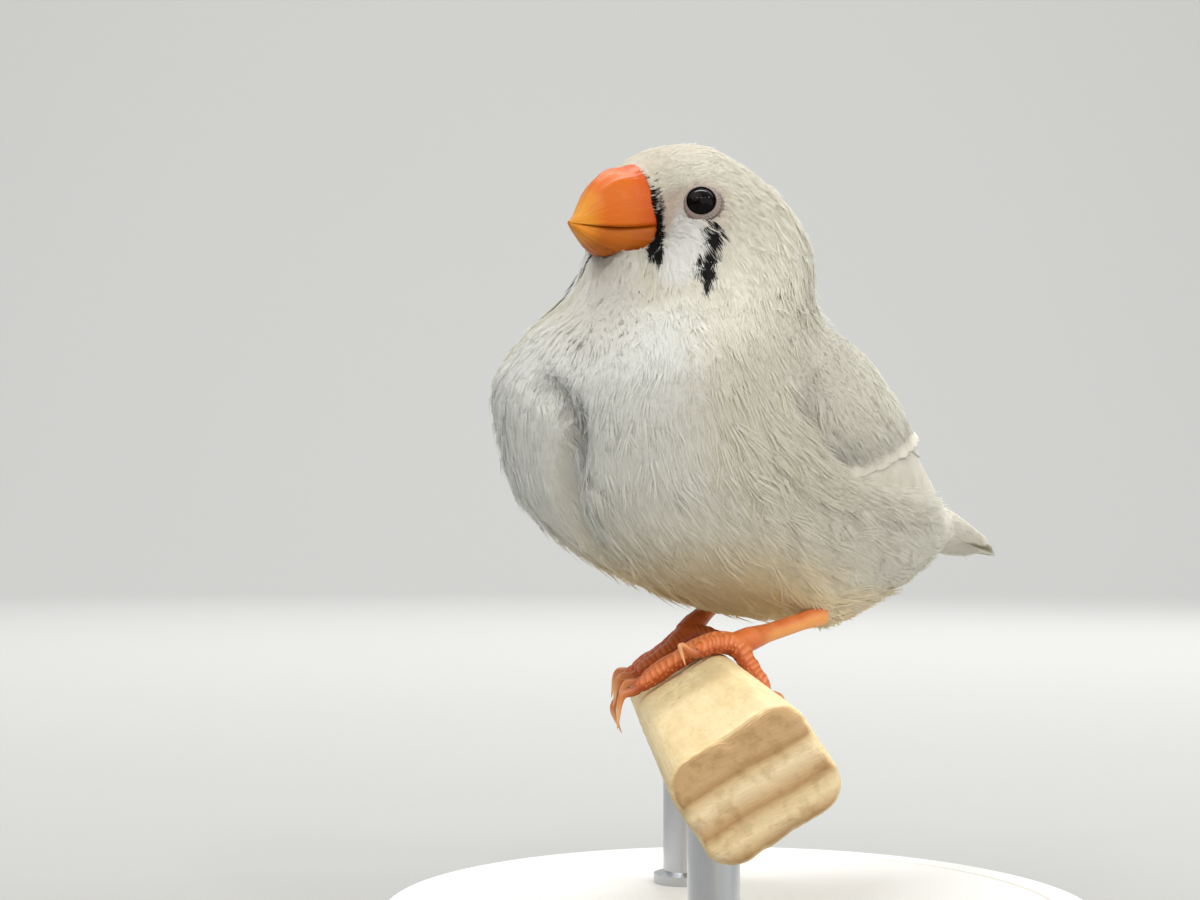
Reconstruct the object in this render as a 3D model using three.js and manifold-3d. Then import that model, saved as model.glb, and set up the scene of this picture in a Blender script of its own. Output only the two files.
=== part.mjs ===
// Zebra finch hen of the white form, life size, perched on a cut length of wood on a plain display stand.
// Millimetres, +Z up. The bird faces -Y, its left side is +X, and the floor is at z = 0.

import * as THREE from 'three';
import { mergeVertices } from 'three/addons/utils/BufferGeometryUtils.js';
import Module from 'manifold-3d';

const wasm = await Module();
wasm.setup();

// Driving dimensions
const GAP = 0.3;
const BASE_RADIUS = 41;
const BASE_THICK = 6;
const BASE_EDGE = 1.2;
const PERCH_HEIGHT = 29.1;
const PERCH_WIDE = 12.2;
const PERCH_DEEP = 9.4;
const PERCH_CORNER = 2.6;
const PERCH_ROLL = 33;
const PERCH_HEADING = 42;
const PERCH_SIDE = -0.6;
const PERCH_NEAR = 69.3;
const PERCH_FAR = -27;
const ROD_RADIUS = 2.6;
const ROD_PLACES = { front: 27, back: -19 };
const FEET_Y = -7;
const HEAD_TURN = -8;
const EYE_RADIUS = 1.95;
const BILL_LENGTH = 8.3;

const DEG = Math.PI / 180;

// Colours of the photographed surfaces
const COLOURS = {
  head: 0xe6e1d0, neck: 0xdedbce, torso: 0xdcd9cb, wing: 0xdad5c4, tail: 0xe2decf,
  eye: 0x0b0a0a, billUpper: 0xf07a28, billLower: 0xc8702e, leg: 0xd9825a, claw: 0xf3be95,
  perch: 0xf3e3b8, base: 0xe9e8e4, rod: 0xb9bcc0,
};

const bird = new THREE.Group();

function paint(colour, roughness, metalness = 0) {
  return new THREE.MeshStandardMaterial({ color: colour, roughness, metalness });
}

function addPart(name, geometry, material) {
  const mesh = new THREE.Mesh(geometry, material);
  mesh.name = name;
  bird.add(mesh);
  return mesh;
}

// Closed surface through rings of equal length, with a fan on each end
function loft(rings) {
  const count = rings[0].length;
  const points = rings.flat();
  const faces = [];
  for (let i = 0; i + 1 < rings.length; i += 1) {
    for (let j = 0; j < count; j += 1) {
      const k = (j + 1) % count;
      const a = i * count + j;
      const b = i * count + k;
      faces.push(a, b, b + count, a, b + count, a + count);
    }
  }
  for (const [end, order] of [[0, 1], [rings.length - 1, -1]]) {
    const middle = new THREE.Vector3();
    rings[end].forEach((p) => middle.add(p));
    const hub = points.push(middle.divideScalar(count)) - 1;
    for (let j = 0; j < count; j += 1) {
      const a = end * count + j;
      const b = end * count + ((j + 1) % count);
      faces.push(...(order > 0 ? [hub, b, a] : [hub, a, b]));
    }
  }
  return outward(points, faces);
}

// Geometry of these points and faces, turned so that its faces point out
function outward(points, faces) {
  let volume = 0;
  for (let i = 0; i < faces.length; i += 3) {
    const [a, b, c] = [points[faces[i]], points[faces[i + 1]], points[faces[i + 2]]];
    volume += a.dot(new THREE.Vector3().crossVectors(b, c));
  }
  const swapped = [0, 1, -1];
  const turned = volume < 0 ? faces.map((_, i) => faces[i + swapped[i % 3]]) : faces;
  const geometry = new THREE.BufferGeometry().setFromPoints(points);
  geometry.setIndex(turned);
  return geometry;
}

function solid(geometry) {
  const bare = geometry.clone();
  bare.deleteAttribute('normal');
  bare.deleteAttribute('uv');
  const merged = mergeVertices(bare, 1e-4);
  return new wasm.Manifold(new wasm.Mesh({
    numProp: 3,
    vertProperties: new Float32Array(merged.attributes.position.array),
    triVerts: new Uint32Array(merged.index.array),
  }));
}

// The largest closed surface of a solid
function largest(body) {
  return body.decompose().sort((a, b) => b.volume() - a.volume())[0];
}

function geometryOf(body) {
  const mesh = largest(body).getMesh();
  const geometry = new THREE.BufferGeometry();
  geometry.setAttribute('position', new THREE.BufferAttribute(mesh.vertProperties, 3));
  geometry.setIndex(new THREE.BufferAttribute(mesh.triVerts, 1));
  return geometry;
}

function join(geometries) {
  return geometries.map(solid).reduce((whole, piece) => whole.add(piece));
}

// Round tube through points with a radius at each, flattened by squash across its upper side
function tube(points, radii, sides = 8) {
  const curve = new THREE.CatmullRomCurve3(points);
  const steps = radii.length - 1;
  const frames = curve.computeFrenetFrames(steps, false);
  const rings = radii.map((radius, i) => {
    const centre = curve.getPointAt(i / steps);
    return Array.from({ length: sides }, (_, j) => {
      const turn = (j / sides) * 2 * Math.PI;
      return centre.clone()
        .addScaledVector(frames.normals[i], radius * Math.cos(turn))
        .addScaledVector(frames.binormals[i], radius * Math.sin(turn));
    });
  });
  return loft(rings);
}

// Body: stations from the bill's base to the tail's root. Each has its name, where its section meets the
// upper and the lower profile as [ahead of the feet, up from the perch's middle], half its width, how far
// up it is widest, and how square its upper and its lower half are
const STATIONS = [
  ['face', [10.8, 60.3], [10.9, 49.7], 4.6, 0.5, 2.1, 2],
  ['lores', [8.3, 62.2], [10.95, 49.2], 7.6, 0.5, 2.2, 2.1],
  ['eyes', [3.4, 63.4], [11.4, 48.3], 9.6, 0.5, 2.3, 2.2],
  ['cheeks', [-2.2, 61.6], [12.6, 46.5], 11.2, 0.5, 2.3, 2.2],
  ['hindcrown', [-7, 58.8], [14.9, 43.6], 12.8, 0.48, 2.3, 2.2],
  ['nape', [-10.4, 54.2], [19.1, 39.7], 15.6, 0.45, 2.2, 2.7],
  ['shoulders', [-12.2, 49.2], [21.9, 34.8], 18, 0.42, 1.7, 3],
  ['mantle', [-15.4, 45.2], [21.9, 28.8], 19.2, 0.42, 1.75, 2.5],
  ['breast', [-19.8, 41.2], [19.4, 22], 19.4, 0.44, 1.9, 2.4],
  ['flanks', [-24.6, 37.2], [12.6, 16.6], 18.7, 0.46, 2, 2.3],
  ['belly', [-29.2, 33], [2.6, 12.6], 17.4, 0.46, 2, 2.2],
  ['thighs', [-33.6, 29], [-8.4, 9.8], 15.8, 0.47, 2, 2.1],
  ['vent', [-38, 25.5], [-20, 9.7], 13.4, 0.48, 2, 2],
  ['rump', [-42.6, 24], [-31, 13], 10.4, 0.52, 2, 2],
  ['undertail', [-46.2, 22.7], [-39, 15.8], 7.4, 0.55, 2, 2],
  ['tail root', [-48.2, 21.4], [-44.4, 17.8], 4.4, 0.55, 2, 2],
].map(([place, back, belly, half, wide, backSquare, bellySquare]) => ({
  place, back, belly, half, wide, backSquare, bellySquare,
}));
const LAST = STATIONS.length - 1;
const stationOf = (place) => STATIONS.findIndex((station) => station.place === place);

const bodyLine = (pair) => new THREE.CatmullRomCurve3(STATIONS.map((station) => (
  new THREE.Vector3(...pair(station), 0))));
const backLine = bodyLine(({ back }) => back);
const bellyLine = bodyLine(({ belly }) => belly);
const girthLine = bodyLine(({ half, wide }) => [half, wide]);
const squareLine = bodyLine(({ backSquare, bellySquare }) => [backSquare, bellySquare]);

// Fold down the middle of the fluffed breast, between its two lobes
const CLEFT = { from: 4.6, deepest: 7.2, to: 9.6, depth: 1.8, width: 2.1, lobes: 0.7, lobeAt: 7 };

function cleftAt(station, across) {
  if (station < CLEFT.from || station > CLEFT.to) return 0;
  const reach = station < CLEFT.deepest ? CLEFT.deepest - CLEFT.from : CLEFT.to - CLEFT.deepest;
  const strength = Math.cos(((station - CLEFT.deepest) / reach) * (Math.PI / 2)) ** 2;
  const groove = CLEFT.depth * Math.exp(-((across / CLEFT.width) ** 2));
  const lobe = CLEFT.lobes * Math.exp(-(((Math.abs(across) - CLEFT.lobeAt) / CLEFT.lobeAt) ** 2));
  return strength * (groove - lobe);
}

const power = (value, exponent) => Math.sign(value) * Math.abs(value) ** exponent;

// A bird point [left, ahead, up] in the part's own frame
function place([left, ahead, up]) {
  return new THREE.Vector3(left, FEET_Y - ahead, PERCH_HEIGHT + up);
}

// The head's turn to the bird's right, which fades out down the neck
function turnHead(point, share) {
  const pivot = new THREE.Vector3(0, FEET_Y, 0);
  return point.sub(pivot).applyAxisAngle(new THREE.Vector3(0, 0, 1), HEAD_TURN * DEG * share).add(pivot);
}

function headShare(station) {
  return 1 - THREE.MathUtils.smoothstep(station, stationOf('cheeks'), stationOf('shoulders'));
}

// A point of the body's surface. angle is 0 at the left side, 90 at the back and 270 at the belly
function bodyPoint(station, angle) {
  const share = THREE.MathUtils.clamp(station / LAST, 0, 1);
  const back = backLine.getPoint(share);
  const belly = bellyLine.getPoint(share);
  const { x: half, y: wide } = girthLine.getPoint(share);
  const { x: backSquare, y: bellySquare } = squareLine.getPoint(share);
  const up = back.clone().sub(belly);
  const height = up.length();
  up.normalize();
  const rise = Math.sin(angle * DEG);
  const flat = rise > 0 ? backSquare : bellySquare;
  const across = half * power(Math.cos(angle * DEG), 2 / flat);
  const reach = rise > 0 ? height * (1 - wide) : height * wide - cleftAt(station, across);
  const point = belly.addScaledVector(up, height * wide + reach * power(rise, 2 / flat));
  return turnHead(place([across, point.x, point.y]), headShare(station));
}

// The same point moved out along the surface's normal
function liftedPoint(station, angle, lift) {
  const step = 0.05;
  const along = bodyPoint(station + step, angle).sub(bodyPoint(station - step, angle));
  const around = bodyPoint(station, angle + 2).sub(bodyPoint(station, angle - 2));
  const normal = along.cross(around).normalize();
  return bodyPoint(station, angle).addScaledVector(normal, lift);
}

const SIDES = 36;

function bodySection(station, sides) {
  return Array.from({ length: sides }, (_, j) => {
    const even = (j / sides) * 360;
    // closer together at the breast's fold
    const angle = even - (even > 180 ? 13 * Math.sin(2 * (even - 270) * DEG) : 0);
    return bodyPoint(station, angle);
  });
}

// A length of the body between two stations. behind moves its first end back from the length before it
function bodyLength(from, to, steps, behind = 0) {
  const step = (to - from) / steps;
  const rings = Array.from({ length: steps + 1 }, (_, i) => bodySection(from + step * i, SIDES));
  const [left, back, right, belly] = [0, 90, 180, 270].map((angle) => bodyPoint(from, angle));
  const away = left.sub(right).cross(back.sub(belly)).normalize().multiplyScalar(behind);
  rings[0].forEach((point) => point.sub(away));
  return loft(rings);
}

// Station where the head ends and where the neck ends
const HEAD_END = 3.2;
const NECK_END = 4.75;

// Head with eye sockets and lids
const EYE = { station: 1.7, angle: -4, sunk: 0.95, lidRadius: 1.75, lidThick: 0.42 };

function eyeFrame(side) {
  const angle = side > 0 ? EYE.angle : 180 - EYE.angle;
  const surface = liftedPoint(EYE.station, angle, 0);
  const out = liftedPoint(EYE.station, angle, 1).sub(surface).normalize();
  return { surface, out, centre: surface.clone().addScaledVector(out, -EYE.sunk) };
}

function eyeBall(side, radius) {
  const { centre } = eyeFrame(side);
  return new THREE.SphereGeometry(radius, 14, 10).translate(centre.x, centre.y, centre.z);
}

function lids(side) {
  const { surface, out } = eyeFrame(side);
  const ring = new THREE.TorusGeometry(EYE.lidRadius, EYE.lidThick, 6, 16);
  const turn = new THREE.Quaternion().setFromUnitVectors(new THREE.Vector3(0, 0, 1), out);
  return ring.applyQuaternion(turn).translate(surface.x, surface.y, surface.z);
}

function headGeometry() {
  let head = join([bodyLength(0, HEAD_END, 9), lids(1), lids(-1)]);
  for (const side of [1, -1]) head = head.subtract(solid(eyeBall(side, EYE_RADIUS + GAP)));
  return geometryOf(head);
}

// Bill: two halves that meet at the line of the mouth, with the nostrils at the upper one's base
const BILL = {
  base: 11.2, mouth: 52.9, halfWidth: 4.35,
  top: [[0, 60], [0.3, 59.4], [0.55, 58], [0.72, 56.2], [0.87, 54.2], [1, 53]],
  bottom: [[0, 50], [0.5, 49.9], [0.74, 50.8], [1, 52.6]],
  taper: [[0, 1], [0.3, 0.87], [0.6, 0.58], [0.8, 0.32], [1, 0.07]],
};

const lineThrough = (pairs) => new THREE.SplineCurve(pairs.map(([x, y]) => new THREE.Vector2(x, y)));

function valueAt(line, share) {
  let low = 0;
  let high = 1;
  for (let i = 0; i < 20; i += 1) {
    const middle = (low + high) / 2;
    if (line.getPoint(middle).x < share) low = middle;
    else high = middle;
  }
  return line.getPoint(low).y;
}

function billHalf(profile, upper) {
  const profileLine = lineThrough(profile);
  const taperLine = lineThrough(BILL.taper);
  const shares = [0, 0.14, 0.28, 0.42, 0.56, 0.68, 0.78, 0.87, 0.94, 1];
  const sides = 9;
  const rings = shares.map((share) => {
    const half = BILL.halfWidth * valueAt(taperLine, share);
    const mouth = BILL.mouth + (upper ? GAP / 2 : -GAP / 2) - 0.35 * Math.sin(share * Math.PI);
    const edge = valueAt(profileLine, share);
    const reach = upper ? Math.max(edge - mouth, 0.3) : Math.max(mouth - edge, 0.25);
    return Array.from({ length: sides }, (_, j) => {
      const turn = (j / (sides - 1)) * Math.PI;
      const left = half * power(Math.cos(turn), 0.92);
      const up = mouth + (upper ? 1 : -1) * reach * Math.sin(turn) ** 0.85;
      return turnHead(place([left, BILL.base + BILL_LENGTH * share, up]), 1);
    });
  });
  return loft(rings);
}

function billUpper() {
  return geometryOf(solid(billHalf(BILL.top, true)).subtract(nostril(1)).subtract(nostril(-1)));
}

function nostril(side) {
  const hole = new THREE.CylinderGeometry(0.55, 0.55, 1.6, 8).rotateX(Math.PI / 2 - 0.5);
  const spot = turnHead(place([side * 3.2, BILL.base + 0.5, 56.9]), 1);
  return solid(hole.translate(spot.x, spot.y, spot.z));
}

// A vane: surface(along, across, lift) gives its places, with along from 0 at the root to 1 at the tip and
// across from -1 at its free edge to 1 at the edge that the next vane covers
const VANE = {
  rows: [0, 0.4, 0.76, 0.94, 1], widths: [0.6, 1, 0.92, 0.56, 0.16], columns: [-1, 1], thick: 0.52,
};

function vane(surface) {
  const width = VANE.columns.length;
  const points = [VANE.thick, 0].flatMap((lift) => VANE.rows.flatMap((share, i) => (
    VANE.columns.map((column) => surface(share, column * VANE.widths[i], lift)))));
  return slab(points, VANE.rows.length, width);
}

// Closed slab between two like grids of points, triangulated alike on both faces
function slab(points, rows, columns) {
  const sheet = rows * columns;
  const faces = [];
  for (let i = 0; i + 1 < rows; i += 1) {
    for (let j = 0; j + 1 < columns; j += 1) {
      const a = i * columns + j;
      const corners = [a, a + 1, a + columns + 1, a, a + columns + 1, a + columns];
      faces.push(...corners, ...corners.map((corner) => corner + sheet).reverse());
    }
  }
  const rim = [];
  for (let j = 0; j + 1 < columns; j += 1) rim.push(j);
  for (let i = 0; i + 1 < rows; i += 1) rim.push(i * columns + columns - 1);
  for (let j = columns - 1; j > 0; j -= 1) rim.push((rows - 1) * columns + j);
  for (let i = rows - 1; i > 0; i -= 1) rim.push(i * columns);
  rim.forEach((a, n) => {
    const b = rim[(n + 1) % rim.length];
    faces.push(b, a, a + sheet, b, a + sheet, b + sheet);
  });
  return outward(points, faces);
}

// Wing: folded over the side of the body. Places on it are [along, across], with along from 0 at the
// shoulder to 1 near the tips, and across from 0 at the lower edge to 1 at the upper one
const WING = { from: 6.35, to: 11.3, coreThick: 0.6, coreEnd: 0.78, lift: GAP + 0.3 };
const WING_TOP = lineThrough([[0, 36], [0.25, 60], [0.55, 70], [0.85, 76], [1, 74]]);
const WING_LOW = lineThrough([[0, 4], [0.12, -7], [0.28, -10], [0.42, -4], [0.72, 12], [1, 34]]);

function onWing(side, [share, across], lift) {
  const low = valueAt(WING_LOW, Math.min(share, 1));
  const top = valueAt(WING_TOP, Math.min(share, 1));
  const angle = low + (top - low) * across;
  return liftedPoint(WING.from + (WING.to - WING.from) * share, side > 0 ? angle : 180 - angle, lift);
}

// Rows of feathers, from the tips forward to the shoulder. roots and tips are where each row's first and
// last feather starts and ends; half is half a feather's width as a share of the wing's
const FEATHER_ROWS = [
  { // primaries
    roots: [[0.5, 0.1], [0.5, 0.4]], tips: [[1.1, 0.3], [0.9, 0.56]],
    count: 5, half: 0.13, rise: 0.15,
  },
  { // secondaries
    roots: [[0.48, 0.46], [0.48, 0.7]], tips: [[0.86, 0.6], [0.84, 0.78]],
    count: 4, half: 0.12, rise: 0.25,
  },
  { // tertials
    roots: [[0.46, 0.78], [0.4, 0.88]], tips: [[0.86, 0.82], [0.76, 0.92]],
    count: 2, half: 0.13, rise: 0.45,
  },
  { // greater coverts
    roots: [[0.24, 0.1], [0.4, 0.86]], tips: [[0.5, 0.08], [0.7, 0.86]],
    count: 6, half: 0.12, rise: 0.6,
  },
  { // median coverts
    roots: [[0.1, 0.14], [0.22, 0.82]], tips: [[0.3, 0.1], [0.46, 0.84]],
    count: 5, half: 0.13, rise: 0.65,
  },
  { // lesser coverts
    roots: [[0.02, 0.3], [0.06, 0.74]], tips: [[0.17, 0.16], [0.27, 0.82]],
    count: 4, half: 0.16, rise: 0.65,
  },
];
const FEATHER = { rootLift: 0.55, tilt: 0.36, sweep: 0.03 };

const between = (from, to, share) => from.map((value, i) => THREE.MathUtils.lerp(value, to[i], share));

function wingVanes(side) {
  return FEATHER_ROWS.flatMap(({ count, roots, tips, half, rise }) => (
    Array.from({ length: count }, (_, n) => {
      const share = count > 1 ? n / (count - 1) : 0;
      const root = between(roots[0], roots[1], share);
      const tip = between(tips[0], tips[1], share);
      return vane((along, across, lift) => {
        const [a, b] = between(root, tip, along);
        const bow = FEATHER.sweep * Math.sin(along * Math.PI);
        const height = FEATHER.rootLift + rise * along - FEATHER.tilt * (across + 1) / 2;
        return onWing(side, [a, b - bow + across * half], WING.lift + height + lift);
      });
    })));
}

function wingCore(side) {
  const rows = 8;
  const columns = 5;
  const points = [WING.coreThick, 0].flatMap((lift) => Array.from({ length: rows * columns }, (_, n) => {
    const share = (Math.floor(n / columns) / (rows - 1)) * WING.coreEnd;
    const across = THREE.MathUtils.lerp(0.04, 0.96, (n % columns) / (columns - 1));
    return onWing(side, [share, across], WING.lift + lift);
  }));
  return slab(points, rows, columns);
}

// Tail: twelve feathers, the middle pair on top, from a root against the body's last section
const TAIL = {
  pairs: 6, root: [-46.5, 21.2], tip: [-65.8, 17.2], half: 2.1, aside: 0.45, drop: 0.36, shorter: 0.55,
  crown: 0.25, fleshLength: 5.5,
};

function onTail(left, share, lift) {
  const [ahead, up] = between(TAIL.root, TAIL.tip, share);
  return place([left, ahead, up + lift]);
}

function tailFeather(pair, side) {
  const length = 1 - (pair * TAIL.shorter) / (TAIL.root[0] - TAIL.tip[0]);
  return vane((along, across, lift) => {
    const fan = TAIL.aside * (pair + 0.5) * (0.4 + 0.6 * along);
    const left = side * (fan - across * TAIL.half);
    const height = -TAIL.drop * pair - TAIL.crown * (left / TAIL.half) ** 2 * 0.5;
    return onTail(left, along * length, height + lift);
  });
}

function tailFlesh() {
  const direction = onTail(0, 1, 0).sub(onTail(0, 0, 0)).normalize();
  const rings = [0, 0.5, 1].map((share) => bodySection(LAST, 14).map((point) => {
    const centre = bodyPoint(LAST, 90).lerp(bodyPoint(LAST, 270), 0.5);
    return centre.lerp(point, 0.88 - 0.5 * share ** 2)
      .addScaledVector(direction, GAP + 0.25 + TAIL.fleshLength * share);
  }));
  return loft(rings);
}

function tailBody() {
  const feathers = Array.from({ length: 2 * TAIL.pairs }, (_, n) => tailFeather(n >> 1, n % 2 ? 1 : -1));
  return join([tailFlesh(), ...feathers]).subtract(solid(keepOff()));
}

// The body's end grown by the gap, which the tail is cut back from
function keepOff() {
  const rings = Array.from({ length: 7 }, (_, i) => {
    const station = LAST - 3 + i * 0.5;
    return Array.from({ length: 20 }, (__, j) => liftedPoint(station, (j / 20) * 360, GAP));
  });
  const direction = onTail(0, 1, 0).sub(onTail(0, 0, 0)).normalize();
  rings.push(rings[6].map((point) => point.clone().addScaledVector(direction, GAP)));
  return loft(rings);
}

// Perch: [right of its middle line, up from it, along it towards its near end] as seen from the near end
const along = new THREE.Vector3(Math.sin(PERCH_HEADING * DEG), -Math.cos(PERCH_HEADING * DEG), 0);
const right = new THREE.Vector3(Math.cos(PERCH_HEADING * DEG), Math.sin(PERCH_HEADING * DEG), 0);

function onPerch([across, up, forward]) {
  return new THREE.Vector3(0, FEET_Y, PERCH_HEIGHT + up)
    .addScaledVector(right, across + PERCH_SIDE)
    .addScaledVector(along, forward);
}

function roundedOutline(wide, deep, corner) {
  const x = wide / 2 - corner;
  const y = deep / 2 - corner;
  const shape = new THREE.Shape();
  shape.absarc(x, y, corner, 0, Math.PI / 2, false);
  shape.absarc(-x, y, corner, Math.PI / 2, Math.PI, false);
  shape.absarc(-x, -y, corner, Math.PI, 1.5 * Math.PI, false);
  shape.absarc(x, -y, corner, 1.5 * Math.PI, 2 * Math.PI, false);
  return shape;
}

function perchGeometry(grow = 0) {
  const chamfer = 0.6;
  const less = 2 * (chamfer - grow);
  const outline = roundedOutline(PERCH_WIDE - less, PERCH_DEEP - less, PERCH_CORNER - chamfer + grow);
  const bar = new THREE.ExtrudeGeometry(outline, {
    depth: PERCH_NEAR - PERCH_FAR - 2 * chamfer, curveSegments: 4,
    bevelEnabled: true, bevelThickness: chamfer, bevelSize: chamfer, bevelSegments: 1,
  });
  bar.rotateZ(PERCH_ROLL * DEG).translate(0, 0, PERCH_FAR + chamfer);
  const frame = new THREE.Matrix4().makeBasis(right, new THREE.Vector3(0, 0, 1), along);
  const start = onPerch([0, 0, 0]);
  return bar.applyMatrix4(frame).translate(start.x, start.y, start.z);
}

// A place [across, up, forward] moved so that it lies clear of the perch's surface by this much
function overPerch([across, up, forward], clear) {
  const roll = PERCH_ROLL * DEG;
  const turned = new THREE.Vector2(across, up).rotateAround(new THREE.Vector2(), -roll);
  const side = turned.clone();
  side.x = Math.sign(side.x) * Math.max(Math.abs(side.x) - PERCH_WIDE / 2 + PERCH_CORNER, 0);
  side.y = Math.sign(side.y) * Math.max(Math.abs(side.y) - PERCH_DEEP / 2 + PERCH_CORNER, 0);
  turned.addScaledVector(side.clone().normalize(), clear + PERCH_CORNER - side.length());
  turned.rotateAround(new THREE.Vector2(), roll);
  return [turned.x, turned.y, forward];
}

// Feet: each toe is a list of places by the perch, from the foot's middle to the claw's root, and then
// the claw's bend and its tip
const TOE = {
  radius: 1.1, tipRadius: 0.85, knuckle: 0.16, rings: 11, sides: 7, restPoints: 5, clear: GAP + 0.05,
};
const FOOT_RADIUS = 1.5;
const FEET = {
  left: {
    knee: [10.4, 16.8, 2.2], ankle: [14.5, 10.4, 1], middle: [4.6, 8.5, 8.3],
    toes: [
      { points: [[1.5, 9.2, 9.6], [-1.4, 8.7, 11.2]], claw: [[-2.2, 7.6, 11.9], [-2, 5.9, 12.2]] },
      { points: [[-0.6, 7.4, 7.2], [-4, 5.4, 7.2], [-6.7, 2.9, 7.6]],
        claw: [[-8.4, 1.8, 7.9], [-9, -1.8, 8.2]] },
      { points: [[-0.2, 7.5, 4.9], [-3.6, 5.7, 3.2], [-6, 3.6, 2.4]],
        claw: [[-7.9, 2.6, 2], [-8.8, -0.4, 1.8]] },
      { points: [[6.4, 6.4, 9.6], [7.9, 3.6, 11.4]], claw: [[8.4, 1.9, 12.2], [7.7, -0.3, 12.6]] },
    ],
  },
  right: {
    knee: [6, 19.5, -18], ankle: [7.5, 14.3, -22], middle: [-1, 8.9, -13.2],
    toes: [
      { points: [[-4, 6.6, -10.8], [-6.6, 3.9, -9.4]], claw: [[-8.2, 2.6, -8.8], [-9, -0.8, -8.4]] },
      { points: [[-4.6, 6.9, -13.4], [-7.6, 4, -13.6], [-8.5, 0.9, -13.6]],
        claw: [[-8.9, -1.4, -13.6], [-7.9, -4.4, -13.6]] },
      { points: [[-4, 6.5, -16], [-6.6, 3.9, -17.6]], claw: [[-8.2, 2.6, -18.2], [-9, -0.6, -18.6]] },
      { points: [[2, 8.8, -13.4], [5.2, 7.2, -13.6]], claw: [[6.8, 5.9, -13.6], [7.9, 3.4, -13.6]] },
    ],
  },
};

// A toe with a pad under each joint and raised scutes between them, lying on the perch
function toe(middle, { points }) {
  const radii = Array.from({ length: TOE.rings }, (_, i) => {
    const share = i / (TOE.rings - 1);
    const plain = THREE.MathUtils.lerp(TOE.radius, TOE.tipRadius, share);
    return plain * (1 + TOE.knuckle * (i % 2 ? 0.5 : -0.5));
  });
  radii[TOE.rings - 1] *= 0.8;
  return tube(toeLine(middle, points), radii, TOE.sides);
}

function toeLine(middle, points) {
  const line = new THREE.CatmullRomCurve3([middle, ...points].map((point) => new THREE.Vector3(...point)));
  return line.getSpacedPoints(TOE.restPoints).map((point, i) => {
    const radius = THREE.MathUtils.lerp(FOOT_RADIUS, TOE.radius, Math.min(i / 2, 1));
    return onPerch(overPerch(point.toArray(), radius + TOE.clear));
  });
}

const CLAW = { rootRadius: 0.62, tipRadius: 0.2, rings: 6 };

function claw(middle, { points, claw: [bend, tip] }) {
  const line = toeLine(middle, points);
  const root = line[line.length - 1];
  const ahead = root.clone().sub(line[line.length - 2]).normalize();
  const start = root.clone().addScaledVector(ahead, GAP + 0.05);
  const neck = start.clone().addScaledVector(ahead, 0.7);
  const radii = Array.from({ length: CLAW.rings }, (_, i) => (
    THREE.MathUtils.lerp(CLAW.rootRadius, CLAW.tipRadius, i / (CLAW.rings - 1))));
  return tube([start, neck, onPerch(bend), onPerch(tip)], radii, 6);
}

// Shank: the bare leg above the foot, with the scutes of its front raised. grow widens it all round
const SHANK = { radius: 1.05, foot: 1.25, rings: 11, scute: 0.04, intoBody: 0.8, aboveFoot: 1.5 };

// Thigh: the feathered leg above the ankle, part of the torso
const THIGH = { radii: [3.4, 3.9, 3.7, 3.1, 2.4, 1.7], pastAnkle: 1.4, sides: 14 };

function thigh({ knee, ankle }) {
  const top = onPerch(knee);
  const end = onPerch(ankle);
  end.addScaledVector(end.clone().sub(top).normalize(), THIGH.pastAnkle);
  return tube([top, top.clone().lerp(end, 0.5), end], THIGH.radii, THIGH.sides);
}

function footMiddle(foot) {
  return onPerch(overPerch(foot.middle, FOOT_RADIUS + TOE.clear));
}

function shank(foot, grow = 0) {
  const bottom = footMiddle(foot);
  const down = bottom.clone().sub(onPerch(foot.ankle)).normalize();
  const start = onPerch(foot.ankle).addScaledVector(down, -SHANK.intoBody - grow);
  const end = bottom.addScaledVector(down, grow - SHANK.aboveFoot);
  const radii = Array.from({ length: SHANK.rings }, (_, i) => {
    const plain = THREE.MathUtils.lerp(SHANK.radius, SHANK.foot, i / (SHANK.rings - 1));
    return plain * (1 + (i % 2 ? SHANK.scute : -SHANK.scute)) + grow;
  });
  return tube([start, start.clone().lerp(end, 0.5), end], radii);
}

// Stand: a round base and two rods, let into the base and up to the perch's underside
function standBase() {
  const outline = [[0, 0], [BASE_RADIUS, 0], [BASE_RADIUS, BASE_THICK - BASE_EDGE],
    [BASE_RADIUS - BASE_EDGE, BASE_THICK], [0, BASE_THICK]];
  const disc = new THREE.LatheGeometry(outline.map(([x, y]) => new THREE.Vector2(x, y)), 48);
  return disc.rotateX(Math.PI / 2);
}

function standRod(forward) {
  const top = onPerch([0, 0, forward]);
  const bottom = BASE_THICK + GAP;
  const rod = new THREE.CylinderGeometry(ROD_RADIUS, ROD_RADIUS, top.z - bottom, 20);
  rod.rotateX(Math.PI / 2).translate(top.x, top.y, (top.z + bottom) / 2);
  const clearance = solid(perchGeometry(GAP));
  return geometryOf(solid(rod).subtract(clearance));
}

function footGeometry(side) {
  const foot = FEET[side];
  let body = join(foot.toes.map((one) => toe(foot.middle, one))).add(solid(
    new THREE.SphereGeometry(FOOT_RADIUS, 10, 8).translate(...footMiddle(foot).toArray())));
  body = body.subtract(solid(shank(foot, GAP + 0.03)));
  return geometryOf(body);
}

function torsoGeometry() {
  const feet = Object.values(FEET);
  const body = join([bodyLength(NECK_END, LAST, 20, GAP), ...feet.map(thigh)]);
  return geometryOf(feet.reduce((rest, foot) => rest.subtract(solid(shank(foot, GAP + 0.03))), body));
}

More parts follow.
